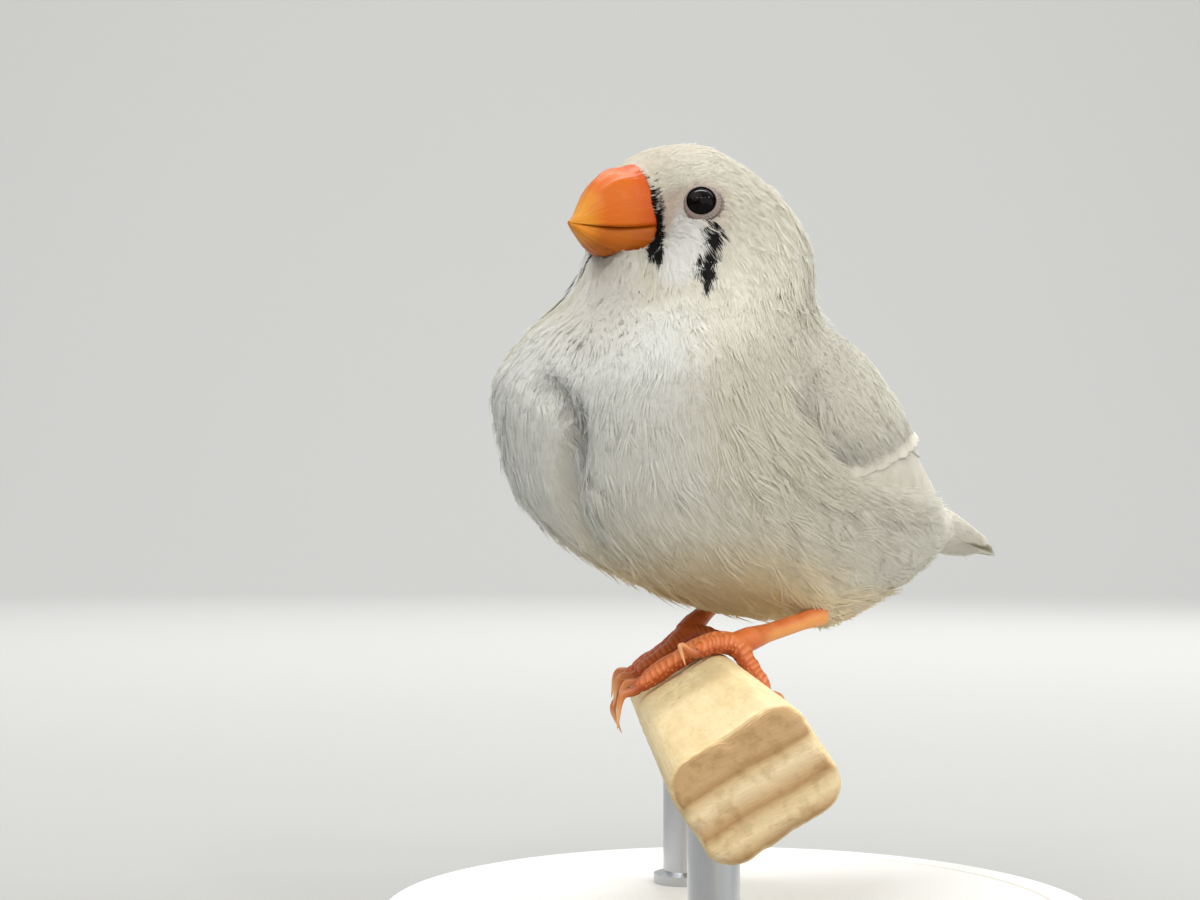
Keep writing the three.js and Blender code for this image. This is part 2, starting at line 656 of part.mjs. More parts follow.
addPart('head', headGeometry(), paint(COLOURS.head, 0.85));
addPart('neck', bodyLength(HEAD_END, NECK_END, 3, GAP), paint(COLOURS.neck, 0.85));
addPart('torso', torsoGeometry(), paint(COLOURS.torso, 0.85));
addPart('bill_upper', billUpper(), paint(COLOURS.billUpper, 0.35));
addPart('bill_lower', billHalf(BILL.bottom, false), paint(COLOURS.billLower, 0.35));
for (const [name, side] of [['left', 1], ['right', -1]]) {
  addPart(`eye_${name}`, eyeBall(side, EYE_RADIUS), paint(COLOURS.eye, 0.08));
  const wing = join([wingCore(side), ...wingVanes(side)]);
  addPart(`wing_${name}`, geometryOf(wing), paint(COLOURS.wing, 0.85));
  addPart(`shank_${name}`, shank(FEET[name]), paint(COLOURS.leg, 0.6));
  addPart(`foot_${name}`, footGeometry(name), paint(COLOURS.leg, 0.6));
  FEET[name].toes.forEach((one, n) => {
    addPart(`claw_${name}_${n + 1}`, claw(FEET[name].middle, one), paint(COLOURS.claw, 0.4));
  });
}
addPart('tail', geometryOf(tailBody()), paint(COLOURS.tail, 0.85));
addPart('perch', perchGeometry(), paint(COLOURS.perch, 0.75));
addPart('stand_base', standBase(), paint(COLOURS.base, 0.5));
for (const [name, forward] of Object.entries(ROD_PLACES)) {
  addPart(`stand_rod_${name}`, standRod(forward), paint(COLOURS.rod, 0.3, 1));
}

export default bird;
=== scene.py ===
# %% [markdown]
# # A white zebra finch on its perch
#
# This lesson dresses a life-size bird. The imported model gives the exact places, in metres, with the floor at
# z = 0. The bird faces -Y and its left side is +X. Its plumage, bill, eyes, feet, perch and stand are made
# here over that model, one after another, and each cell says what the real thing is and how it is made.

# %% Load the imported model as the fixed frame
import math
import bpy
import bmesh
import numpy as np
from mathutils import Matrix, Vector, noise


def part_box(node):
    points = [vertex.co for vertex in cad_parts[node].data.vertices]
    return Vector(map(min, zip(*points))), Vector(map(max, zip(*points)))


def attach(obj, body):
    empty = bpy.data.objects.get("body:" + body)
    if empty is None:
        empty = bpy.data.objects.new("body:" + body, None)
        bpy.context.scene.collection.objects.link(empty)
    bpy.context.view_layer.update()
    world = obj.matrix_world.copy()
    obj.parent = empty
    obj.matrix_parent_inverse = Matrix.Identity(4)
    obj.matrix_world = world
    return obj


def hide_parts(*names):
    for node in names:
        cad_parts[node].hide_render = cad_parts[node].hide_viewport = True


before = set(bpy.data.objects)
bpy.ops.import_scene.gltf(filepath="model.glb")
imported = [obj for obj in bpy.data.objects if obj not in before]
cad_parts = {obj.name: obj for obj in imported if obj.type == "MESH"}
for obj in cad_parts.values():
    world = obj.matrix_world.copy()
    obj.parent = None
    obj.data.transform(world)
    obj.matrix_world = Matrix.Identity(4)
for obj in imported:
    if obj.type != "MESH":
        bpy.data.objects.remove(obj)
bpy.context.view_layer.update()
MM = 0.001
print("the packed model's nodes:", len(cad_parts))

# %% [markdown]
# ## Working by hand, in code
#
# An operator acts on everything that is selected, so each piece starts with nothing selected. A finished
# piece keeps its object at the origin, with its place in its mesh. These few helpers do what a modeller does
# between two pieces: deselect, pick the new object, work on all of its mesh, and apply what was done.

# %% Helpers for selecting, applying and finishing a piece
def start_clean():
    bpy.ops.object.select_all(action="DESELECT")


def new_piece(name):
    piece = bpy.context.object
    piece.name = name
    piece.data.name = name
    return piece


def pick(piece):
    start_clean()
    piece.select_set(True)
    bpy.context.view_layer.objects.active = piece


def edit_whole():
    """Goes into edit mode with everything selected."""
    bpy.ops.object.mode_set(mode="EDIT")
    bpy.ops.mesh.select_all(action="SELECT")


def apply_all(piece):
    """Applies the modifiers and puts the object's place into its mesh."""
    pick(piece)
    for modifier in list(piece.modifiers):
        bpy.ops.object.modifier_apply(modifier=modifier.name)
    bpy.ops.object.transform_apply(location=True, rotation=True, scale=True)


def join_pieces(name, pieces):
    start_clean()
    for piece in pieces:
        piece.select_set(True)
    bpy.context.view_layer.objects.active = pieces[0]
    bpy.ops.object.join()
    bpy.ops.object.shade_smooth()
    return new_piece(name)


def read(elements, key, width):
    flat = np.empty(len(elements) * width)
    elements.foreach_get(key, flat)
    return flat.reshape(-1, width)


def points_of(piece):
    return read(piece.data.vertices, "co", 3)


def set_points(piece, points):
    piece.data.vertices.foreach_set("co", np.asarray(points, float).ravel())
    piece.data.update()


def paint(mesh, tones):
    """Keeps a linear colour for each corner point in the mesh, where a material finds it as its plumage."""
    layer = mesh.color_attributes.new("plumage", "FLOAT_COLOR", "POINT")
    tones = np.reshape(tones, (-1, 3))
    layer.data.foreach_set("color", np.hstack([tones, np.ones((len(tones), 1))]).astype(np.float32).ravel())


# %% Helpers that start a form as a flat grid and close it
def flat_grid(name, columns, rows, map_name):
    """A grid to be shaped, and each point's share across it and along it, from 0 to 1."""
    start_clean()
    bpy.ops.mesh.primitive_grid_add(x_subdivisions=columns, y_subdivisions=rows, size=1.0, calc_uvs=True)
    piece = new_piece(name)
    piece.data.uv_layers[0].name = map_name
    sheet = points_of(piece)
    return piece, sheet[:, 0] + 0.5, sheet[:, 1] + 0.5


def close_form(melt, fill=True):
    """Merges the grid's side edges, fills its open ends and turns its faces outwards."""
    edit_whole()
    bpy.ops.mesh.remove_doubles(threshold=melt)
    if fill:
        bpy.ops.mesh.select_all(action="DESELECT")
        bpy.ops.mesh.select_non_manifold(extend=False, use_wire=False, use_boundary=True,
                                         use_multi_face=False, use_non_contiguous=False, use_verts=False)
        bpy.ops.mesh.fill_holes(sides=0)
        bpy.ops.mesh.select_all(action="SELECT")
    bpy.ops.mesh.normals_make_consistent(inside=False)
    bpy.ops.object.mode_set(mode="OBJECT")
    bpy.ops.object.shade_smooth()


def dress(piece, material, slot, *nodes):
    """Gives a piece its material, lets it ride, and hides the nodes it stands for."""
    piece.data.materials.clear()
    piece.data.materials.append(material)
    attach(piece, "root")
    if nodes:
        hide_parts(*nodes)
    print(piece.name, "has", sum(len(f.vertices) - 2 for f in piece.data.polygons), "triangles")


# %% [markdown]
# ## Colours and nodes
#
# Colours are written as the sRGB hex values a person would pick from a paint chart, and one function turns
# them to the linear values that a shader wants. Another adds a node with its settings and its links, and the
# few kinds of node that come again and again have a short function of their own on top of it.

# %% Helpers for materials
def linear(hex_colour):
    def channel(value):
        return value / 12.92 if value <= 0.04045 else ((value + 0.055) / 1.055) ** 2.4
    return tuple(channel(int(hex_colour[i:i + 2], 16) / 255) for i in (1, 3, 5)) + (1.0,)


def add(tree, kind, values=None, links=None, **settings):
    """Adds a node. values are its inputs' own values, and links are sockets that feed its inputs."""
    node = tree.nodes.new(kind)
    for key, value in settings.items():
        setattr(node, key, value)
    for key, value in (values or {}).items():
        node.inputs[key].default_value = value
    for key, socket in (links or {}).items():
        tree.links.new(socket, node.inputs[key])
    return node


def new_material(name, sockets):
    """A material with a Principled shader, whose even values are set on its own sockets."""
    material = bpy.data.materials.new(name)
    material.use_nodes = True
    tree = material.node_tree
    shader = tree.nodes["Principled BSDF"]
    for key, value in sockets.items():
        shader.inputs[key].default_value = value
    return material, tree, shader


def own_place(tree):
    return add(tree, "ShaderNodeTexCoord").outputs["Object"]


def own_map(tree, name):
    return add(tree, "ShaderNodeUVMap", uv_map=name).outputs["UV"]


def stretched(tree, vector, scale):
    return add(tree, "ShaderNodeMapping", {"Scale": scale}, {"Vector": vector}).outputs["Vector"]


def cloud(tree, vector, scale, detail, **values):
    """Smooth noise, from 0 to 1."""
    values = {"Scale": scale, "Detail": detail, **values}
    return add(tree, "ShaderNodeTexNoise", values, {"Vector": vector}).outputs["Fac"]


def cells(tree, vector, scale):
    """The distance to the nearest of many scattered points."""
    return add(tree, "ShaderNodeTexVoronoi", {"Scale": scale}, {"Vector": vector}).outputs["Distance"]


def scaled(tree, socket, factor, more=0.0):
    """The socket times the factor, plus more, which is a number or another socket."""
    node = add(tree, "ShaderNodeMath", {1: factor}, {0: socket}, operation="MULTIPLY_ADD")
    if isinstance(more, float):
        node.inputs[2].default_value = more
    else:
        tree.links.new(more, node.inputs[2])
    return node.outputs["Value"]


def tinted(tree, under, over, share=1.0):
    """Two colours multiplied, by this share."""
    node = add(tree, "ShaderNodeMix", {"Factor": share}, {6: under, 7: over},
               data_type="RGBA", blend_type="MULTIPLY")
    return node.outputs[2]


def plumage_socket(tree):
    return add(tree, "ShaderNodeAttribute", attribute_name="plumage").outputs["Color"]


def ramp(tree, factor, *stops):
    """A colour ramp through (place, hex colour) stops."""
    node = add(tree, "ShaderNodeValToRGB", links={"Fac": factor})
    while len(node.color_ramp.elements) < len(stops):
        node.color_ramp.elements.new(0.5)
    for element, (place, colour) in zip(node.color_ramp.elements, stops):
        element.position = place
        element.color = linear(colour)
    return node.outputs["Color"]


def bump(tree, shader, height, distance, strength=1.0):
    node = add(tree, "ShaderNodeBump", {"Strength": strength, "Distance": distance}, {"Height": height})
    tree.links.new(node.outputs["Normal"], shader.inputs["Normal"])


# %% [markdown]
# ## Camera, floor and light
#
# The photograph was taken with a long lens from a little below the bird's eye, so the camera stands 0.22 m
# away. The scene is a plain pale floor in plain soft light. A white bird needs light from one side more than
# the other, or its round breast looks flat, so a large soft lamp hangs on the left and a weaker one on the
# right. Four small lamps overhead give the wet eye its row of bright points, and a low one warms the belly.

# %% Camera at the photograph's place and angle
FEET_Y = -7.0
HEADING = math.radians(42)
TOWARDS = Vector((math.sin(HEADING), -math.cos(HEADING), 0))
RIGHT = Vector((math.cos(HEADING), math.sin(HEADING), 0))
CAMERA_PLACE = (Vector((0, FEET_Y, 0)) + 216 * TOWARDS - 15.3 * RIGHT + Vector((0, 0, 48.1))) * MM
FOCAL_PIXELS = 1900
MIDDLE_RIGHT, MIDDLE_UP = 35, 88

bpy.ops.object.camera_add(location=CAMERA_PLACE)
camera = bpy.context.object
camera.name = "camera"
forward = (-TOWARDS + RIGHT * (MIDDLE_RIGHT / FOCAL_PIXELS) + Vector((0, 0, MIDDLE_UP / FOCAL_PIXELS)))
camera.rotation_euler = forward.to_track_quat("-Z", "Y").to_euler()
camera.data.sensor_width = 36
camera.data.lens = FOCAL_PIXELS * 36 / 1200
camera.data.clip_start = 0.01
bpy.context.scene.camera = camera
print("camera height", round(CAMERA_PLACE.z, 4), "m, lens", camera.data.lens, "mm")

# %% Floor that curves up far behind the bird
start_clean()
bpy.ops.mesh.primitive_circle_add(vertices=3, radius=0.01, location=(0, 0, 0), fill_type="NOTHING")
floor = new_piece("studio_floor")
edit_whole()
bpy.ops.mesh.delete(type="VERT")
bpy.ops.object.mode_set(mode="OBJECT")
turns = np.linspace(0, math.pi / 2, 25)
profile = [(0.0, 0.0), (0.7, 0.0), (1.4, 0.0)]
profile += [(1.4 + 0.9 * math.sin(turn), 0.9 - 0.9 * math.cos(turn)) for turn in turns[1:]] + [(2.3, 1.6)]
floor.data.vertices.add(len(profile))
set_points(floor, [(x, 0, z - 0.0001) for x, z in profile])
floor.data.edges.add(len(profile) - 1)
for number, edge in enumerate(floor.data.edges):
    edge.vertices = (number, number + 1)
edit_whole()
bpy.ops.mesh.spin(steps=96, angle=2 * math.pi, center=(0, 0, 0), axis=(0, 0, 1))
bpy.ops.mesh.select_all(action="SELECT")
bpy.ops.mesh.remove_doubles(threshold=0.0001)
bpy.ops.mesh.normals_make_consistent(inside=True)
bpy.ops.object.mode_set(mode="OBJECT")
paper, tree, shader = new_material("matt_backdrop_paper", {"Roughness": 0.9, "Base Color": linear("#A2A2A0")})
floor.data.materials.append(paper)
bpy.ops.object.shade_smooth()

# %% Soft studio light
def soft_lamp(name, place, power, size, colour, towards=(0, -0.01, 0.07)):
    bpy.ops.object.light_add(type="AREA", location=place)
    lamp = bpy.context.object
    lamp.name = name
    lamp.data.energy = power
    lamp.data.shape = "DISK"
    lamp.data.size = size
    lamp.data.color = linear(colour)[:3]
    lamp.rotation_euler = (Vector(towards) - Vector(place)).to_track_quat("-Z", "Y").to_euler()


def beside_camera(ahead, aside, up):
    return TOWARDS * ahead + RIGHT * aside + Vector((0, 0, up))


soft_lamp("key_lamp", beside_camera(0.45, -0.5, 0.8), 4.3, 1.2, "#FDFCFA")
soft_lamp("fill_lamp", beside_camera(0.5, 0.8, 0.3), 2.8, 0.9, "#F4F8FF")
soft_lamp("rim_lamp", beside_camera(-0.6, 0.45, 0.6), 2.8, 0.8, "#FFFFFF")
backdrop_middle = beside_camera(-2.3, 0.0, 0.35)
soft_lamp("backdrop_lamp", beside_camera(-0.5, 0.0, 1.5), 44.0, 1.2, "#FFFFFF", backdrop_middle)
for number, turn in enumerate((-34, 0, 32, 66)):
    aside = math.radians(turn)
    place = beside_camera(0.9 * math.cos(aside), 0.9 * math.sin(aside), 0.82)
    soft_lamp(f"ceiling_lamp_{number}", place, 1.1, 0.1, "#FEFEFC")
soft_lamp("low_lamp", beside_camera(0.55, 0.12, 0.26), 0.9, 0.5, "#FFEFD9")
world = bpy.data.worlds.new("soft_room")
bpy.context.scene.world = world
world.use_nodes = True
world.node_tree.nodes["Background"].inputs["Color"].default_value = linear("#F3F4F5")
world.node_tree.nodes["Background"].inputs["Strength"].default_value = 0.87
# plain sRGB colours, as a camera's own picture has them
bpy.context.scene.view_settings.view_transform = "Standard"

# %% [markdown]
# ## The body's form
#
# A bird's outline is its feathers' outline. The solids give it as sixteen sections from the bill's base to
# the tail's root, and the same sections are read here, in millimetres. A place on the body is a station, from
# 0 at the bill to 15 at the tail, and an angle, from 0 at the left side over 90 at the back to 270 at the
# belly. The skin, the coat and the wings all use this one surface, so nothing has to be fitted.

# %% Sections of the body
PERCH_UP = 29.1
HEAD_TURN = math.radians(-8)
# back and belly as [ahead of the feet, up from the perch], half width, widest height, squareness above, below
STATIONS = np.array([
    [10.8, 60.3, 10.9, 49.7, 4.6, 0.5, 2.1, 2],       # face
    [8.3, 62.2, 10.95, 49.2, 7.6, 0.5, 2.2, 2.1],     # lores
    [3.4, 63.4, 11.4, 48.3, 9.6, 0.5, 2.3, 2.2],      # eyes
    [-2.2, 61.6, 12.6, 46.5, 11.2, 0.5, 2.3, 2.2],    # cheeks
    [-7, 58.8, 14.9, 43.6, 12.8, 0.48, 2.3, 2.2],     # hindcrown
    [-10.4, 54.2, 19.1, 39.7, 15.6, 0.45, 2.2, 2.7],  # nape
    [-12.2, 49.2, 21.9, 34.8, 18, 0.42, 1.7, 3],      # shoulders
    [-15.4, 45.2, 21.9, 28.8, 19.2, 0.42, 1.75, 2.5],  # mantle
    [-19.8, 41.2, 19.4, 22, 19.4, 0.44, 1.9, 2.4],    # breast
    [-24.6, 37.2, 12.6, 16.6, 18.7, 0.46, 2, 2.3],    # flanks
    [-29.2, 33, 2.6, 12.6, 17.4, 0.46, 2, 2.2],       # belly
    [-33.6, 29, -8.4, 9.8, 15.8, 0.47, 2, 2.1],       # thighs
    [-38, 25.5, -20, 9.7, 13.4, 0.48, 2, 2],          # vent
    [-42.6, 24, -31, 13, 10.4, 0.52, 2, 2],           # rump
    [-46.2, 22.7, -39, 15.8, 7.4, 0.55, 2, 2],        # undertail
    [-48.2, 21.4, -44.4, 17.8, 4.4, 0.55, 2, 2],      # tail root
])
LAST = len(STATIONS) - 1
CLEFT = dict(first=4.9, deepest=7.2, last=9.6, depth=3.2, width=1.5, lobes=0.9, lobe_at=7.0)
# the breast's parting wanders: how far to the left it lies at each of these stations
PARTING = np.array([(5.6, -6.0), (6.1, -2.4), (6.7, 1.0), (7.2, 0.0), (7.6, -1.1), (8.1, -2.0), (8.6, -2.8)])
# the feathered thighs: a place as [left, ahead, up], the way it points, how far it stands out, and how wide
THIGHS = [((10.6, -8.8, 10.6), (0.35, -0.25, -0.9), 2.6, 3.0),
          ((-9.6, -21.0, 14.3), (-0.1, -0.5, -0.85), 3.0, 3.0),
          ((9.0, -14.0, 10.4), (0.1, -0.2, -0.95), 1.6, 4.2)]


def smooth_line(knots, where):
    """Places on the smooth curve through the knots. Its speed follows the square root of their distances."""
    first, last = knots[0] * 2 - knots[1], knots[-1] * 2 - knots[-2]
    padded = np.vstack([first, knots, last])
    index = np.clip(np.floor(where).astype(int), 0, len(knots) - 2)
    share = (where - index)[:, None]
    p0, p1, p2, p3 = (padded[index + k] for k in range(4))
    t0, t1, t2 = (np.maximum(np.linalg.norm(b - a, axis=1), 1e-9)[:, None] ** 0.5
                  for a, b in ((p0, p1), (p1, p2), (p2, p3)))
    start = ((p1 - p0) / t0 - (p2 - p0) / (t0 + t1) + (p2 - p1) / t1) * t1
    end = ((p2 - p1) / t1 - (p3 - p1) / (t1 + t2) + (p3 - p2) / t2) * t1
    return (p1 + start * share + (3 * (p2 - p1) - 2 * start - end) * share ** 2
            + (2 * (p1 - p2) + start + end) * share ** 3)


def smoothstep(value, low, high):
    share = np.clip((np.asarray(value, float) - low) / (high - low), 0, 1)
    return share * share * (3 - 2 * share)


def bird_point(left, ahead, up):
    """Left, ahead and up of the feet, in millimetres, as a place in the model's frame."""
    return np.stack([left, FEET_Y - ahead, PERCH_UP + up], axis=-1)


def turn_head(points, share):
    """The head looks a little to the bird's right, and the turn fades out down the neck."""
    turn = HEAD_TURN * share
    x, y = points[..., 0], points[..., 1] - FEET_Y
    return np.stack([x * np.cos(turn) - y * np.sin(turn), x * np.sin(turn) + y * np.cos(turn) + FEET_Y,
                     points[..., 2]], axis=-1)


def body_point(station, angle):
    station, angle = (np.asarray(v, float).ravel() for v in np.broadcast_arrays(station, angle))
    station = np.clip(station, 0, LAST)
    back, belly = (smooth_line(STATIONS[:, k:k + 2], station) for k in (0, 2))
    half, wide = smooth_line(STATIONS[:, 4:6], station).T
    above, below = smooth_line(STATIONS[:, 6:8], station).T
    up = back - belly
    height = np.linalg.norm(up, axis=1)
    up /= height[:, None]
    cosine, rise = np.cos(np.radians(angle)), np.sin(np.radians(angle))
    square = 2 / np.where(rise > 0, above, below)
    across = half * np.sign(cosine) * np.abs(cosine) ** square
    deepest = CLEFT["deepest"]
    reach = np.where(station < deepest, deepest - CLEFT["first"], CLEFT["last"] - deepest)
    strength = np.cos(np.clip((station - deepest) / reach, -1, 1) * math.pi / 2) ** 2
    beside = across - np.interp(station, PARTING[:, 0], PARTING[:, 1])
    fold = (CLEFT["depth"] * np.exp(-(beside / CLEFT["width"]) ** 2)
            - CLEFT["lobes"] * np.exp(-((np.abs(beside) - CLEFT["lobe_at"]) / CLEFT["lobe_at"]) ** 2))
    deep = np.where(rise > 0, height * (1 - wide), height * wide - strength * fold)
    along = height * wide + deep * np.sign(rise) * np.abs(rise) ** square
    spot = belly + up * along[:, None]
    spot = np.stack([across, spot[:, 0], spot[:, 1]], 1)
    for ankle, way, stands_out, wide in THIGHS:
        way = np.array(way) / np.linalg.norm(way)
        to_ankle = spot - np.array(ankle)
        deep = to_ankle @ way
        aside = np.linalg.norm(to_ankle - np.outer(deep, way), axis=1)
        spot = spot + np.outer(stands_out * np.exp(-(aside / wide) ** 2 - (deep / 8) ** 2), way)
    return turn_head(bird_point(spot[:, 0], spot[:, 1], spot[:, 2]), 1 - smoothstep(station, 3, 6))


def body_frame(station, angle, lift=0.0):
    """Points on the body, lifted off it, with the ways outwards, towards the tail and round the body."""
    step = 0.05
    back = body_point(station + step, angle) - body_point(station - step, angle)
    around = body_point(station, angle + 2.0) - body_point(station, angle - 2.0)
    out = np.cross(back, around)
    out /= np.maximum(np.linalg.norm(out, axis=1), 1e-9)[:, None]
    back /= np.maximum(np.linalg.norm(back, axis=1), 1e-9)[:, None]
    side = np.cross(out, back)
    return body_point(station, angle) + out * np.reshape(lift, (-1, 1)), out, back, side


low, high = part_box("torso")
print("torso in the model", [round(v * 1000, 1) for v in (*low, *high)])
sample = body_point(*np.meshgrid(np.linspace(4.75, 15, 60), np.arange(0, 360, 5.0)))
print("torso from the sections", sample.min(0).round(1), sample.max(0).round(1))

# %% [markdown]
# ## Plumage colours and the black face marks
#
# A white hen is not one white. The crown and wings are cream, the breast a cool white, the belly warmer, and
# the thin feathers between bill and eye let grey-pink skin through. The two black marks, one down the bill's
# side and a ragged tear below the eye, are given as short lines of places with a half width. Skin and
# feathers ask the same function for their colour, so a gap between feathers never shows a wrong one.

# %% Colour of the plumage at a place
PLUMAGE = dict(crown="#F2EEE3", cheek="#F1EFE5", breast="#F5F6F3", flank="#F3F1E8", belly="#F7E7BF",
               rump="#F6F4EC", lores="#EAE0D4", chin="#F5F4EF", patch="#F8F8F6", black="#120F0D")
# each mark as station, elevation (0 side, -90 belly) and half width in millimetres
LORE_MARK = [(-0.1, 80, -0.2), (-0.1, 40, -0.16), (-0.1, 16, 0.0), (0.0, -10, 0.26),
             (0.1, -30, 0.66), (0.4, -44, 0.75), (1.0, -54, 0.8), (1.6, -57, 0.65), (2.1, -58, 0.1)]
TEAR_MARK = [(2.2, -17, 0.15), (2.42, -20, 0.95), (2.65, -22.5, 0.8), (2.88, -26, 0.5), (3.08, -29, 0.9),
             (3.3, -31, 0.9), (3.6, -31.5, 0.65), (3.85, -33, 0.3), (4.05, -35, 0.08)]
EYE_STATION, EYE_ELEVATION = 1.7, -4
PATCH_STATION, PATCH_ELEVATION = 2.1, -40


def elevation(angle):
    """The same place's angle on the left side, from -90 at the belly to 90 at the back."""
    turned = (np.asarray(angle, float) + 90) % 360 - 90
    return np.where(turned > 90, 180 - turned, turned)


def to_eye(points):
    return np.linalg.norm(points - body_point(EYE_STATION, EYE_ELEVATION), axis=1)


def distance_to_mark(points, mark):
    """Distance to a tapered line less its half width: below zero inside the mark."""
    stations, heights, halves = np.array(mark).T
    line = body_point(stations, heights)
    nearest = np.full(len(points), 99.0)
    for a, b, wide_a, wide_b in zip(line[:-1], line[1:], halves[:-1], halves[1:]):
        share = np.clip(((points - a) @ (b - a)) / ((b - a) @ (b - a)), 0, 1)
        away = np.linalg.norm(points - a - share[:, None] * (b - a), axis=1)
        nearest = np.minimum(nearest, away - (wide_a + (wide_b - wide_a) * share))
    return nearest


def colour(name):
    return np.array(linear(PLUMAGE[name])[:3])


def mixed(under, over, share):
    return under + (over - under) * np.reshape(share, (-1, 1))


def plumage_colour(station, angle, ragged):
    """Linear colours. ragged is a random number for each place, which breaks the marks' edges up."""
    height = elevation(angle)
    points = body_point(station, height)
    here = np.repeat(colour("cheek")[None], len(points), 0)
    here = mixed(here, colour("crown"), smoothstep(height, 20, 60) * (1 - smoothstep(station, 4, 6)))
    here = mixed(here, colour("breast"), smoothstep(-height, 25, 60) * smoothstep(station, 3, 5))
    here = mixed(here, colour("flank"), smoothstep(station, 7.5, 9.5))
    here = mixed(here, colour("belly"), smoothstep(-height, 20, 70) * smoothstep(station, 8, 10.5))
    here = mixed(here, colour("rump"), smoothstep(station, 11.5, 13) * smoothstep(height, -40, 10))
    here = mixed(here, colour("chin"), smoothstep(-height, 60, 76) * (1 - smoothstep(station, 4, 5.5)))
    before_eye = (1 - smoothstep(station, 0.9, 1.7)) * smoothstep(height, -42, -24)
    before_eye = before_eye * (1 - smoothstep(height, 2, 20))
    here = mixed(here, colour("lores"), before_eye)
    here = mixed(here, colour("lores"), 0.6 * (1 - smoothstep(to_eye(points), 2.0, 2.9)))
    to_patch = (points - body_point(PATCH_STATION, PATCH_ELEVATION)) * np.array([1, 1, 0.55])
    here = mixed(here, colour("patch"), 1 - smoothstep(np.linalg.norm(to_patch, axis=1), 1.6, 3.0))
    for mark, torn in ((LORE_MARK, 0.45), (TEAR_MARK, 0.8)):
        here = mixed(here, colour("black"), distance_to_mark(points, mark) + torn * (ragged - 0.5) < 0)
    return here


# %% [markdown]
# ## The skin
#
# Under the feathers lies one skin from the bill to the tail, so no seam shows between head, neck and body.
# It starts as a flat grid, as a sheet of clay would, whose rows become the sections and whose columns run
# from the belly's middle round the body and back. It is laid inside the outline by the depth of the plumage,
# shallow on the face and deep on the breast. Its UV map is the grid's own, which is an unwrap of the skin.

# %% Depth of the coat and the skin itself
def coat_depth(station, angle):
    height = elevation(angle)
    depth = np.interp(station, [0, 0.4, 1.2, 2.4, 3.5, 5, 6.5, 11, 13, 14.4, 15],
                      [0.1, 0.22, 0.38, 0.6, 0.9, 1.3, 1.7, 1.7, 1.5, 0.9, 0.5])
    away = to_eye(body_point(station, height))
    return np.where(away < 4, depth * (0.45 + 0.55 * smoothstep(away, 2, 4)), depth)


skin, u, v = flat_grid("skin", 180, 170, "OFBake")
station, angle = v * LAST, u * 360 - 90
laid, *_ = body_frame(station, angle, -coat_depth(station, angle))
set_points(skin, laid * MM)
tones = plumage_colour(station, angle, np.full(len(laid), 0.5))
bare = np.array(linear("#C9A99B")[:3])
tones = mixed(tones, bare * 0.9 + 0.1 * tones, 0.15 * (tones.mean(1) > 0.1))
paint(skin.data, tones)
close_form(0.005 * MM)

feather_skin, tree, shader = new_material("down_covered_skin", {"Roughness": 0.9})
tree.links.new(plumage_socket(tree), shader.inputs["Base Color"])
bump(tree, shader, cloud(tree, own_place(tree), 2500.0, 3.0), 0.0002, 0.6)
dress(skin, feather_skin, "plumage_body", "head", "neck", "torso")

# %% [markdown]
# ## The coat of contour feathers
#
# The plumage of a fluffed finch looks like silk: each contour feather ends in loose barbs that part from
# their neighbours. A feather is therefore a small fan of thin tapered barbs that share one root in the skin
# and lie back along the body. Eighty thousand of them would be slow as objects, so their corners are worked
# out all at once with numpy and become a few joined meshes. Each fan keeps a tiny patch of the skin's unwrap.

# %% How feathers grow, by place
BARBS = 6
BARB_HALF_WIDTH = 0.225
ROUGHED = 0.11
SUNK = 0.05
TUFT_PATCH = 0.003
SEED = 7
ANKLES = [bird_point(*place) for place, *_ in THIGHS]
# how far a feather's facing is turned to [left, back, up] below the belly and on the throat
BELLY_FACING, THROAT_FACING = (0.2, -0.25, 0.42), (0.1, -0.45, 0.35)


def wing_cover(station, height):
    """How much of a place the folded wing covers: 1 well under it, 0 clear of it."""
    low = np.interp(station, [6.35, 6.95, 7.75, 8.45, 9.9, 11.3], [6, -3, -6, 0, 16, 40])
    top = np.interp(station, [6.35, 7.6, 9.1, 10.6, 11.3], [22, 43, 52, 54, 44])
    across, along = np.minimum(height - low, top - height), np.minimum(station - 6.5, 10.8 - station)
    return np.clip(np.minimum(across / 6, along * 3), 0, 1)


def feather_length(station, height):
    length = np.interp(station, [0, 0.5, 1.5, 3, 5, 7, 10, 12, 13.5, 15],
                       [0.7, 1, 1.5, 2.2, 3.4, 4.4, 5, 5.4, 5.6, 5])
    return length * (1 + 0.25 * smoothstep(-height, 30, 80) * smoothstep(station, 9, 11))


def throat_swell(station, height):
    """How far the fluffed throat's own feathers stand out from the body's outline under the bill."""
    swell = np.interp(station, [0, 0.6, 1.2, 2, 3, 4, 5, 5.8], [2.4, 3.3, 3.6, 3.2, 2.1, 1.0, 0.3, 0.0])
    return swell * np.exp(-((90 + height) / 36) ** 2)


def feather_density(station, height):
    """Feathers for each square millimetre, with few of them where others hide them."""
    density = np.interp(station, [0, 1.5, 3, 5, 9, 10.5, 15], [25, 19, 12.7, 8.0, 6.8, 5.7, 5.4])
    under_throat = 0.9 * smoothstep(throat_swell(station, height), 0.7, 1.3)
    return density * (1 - np.maximum(wing_cover(station, height), under_throat))


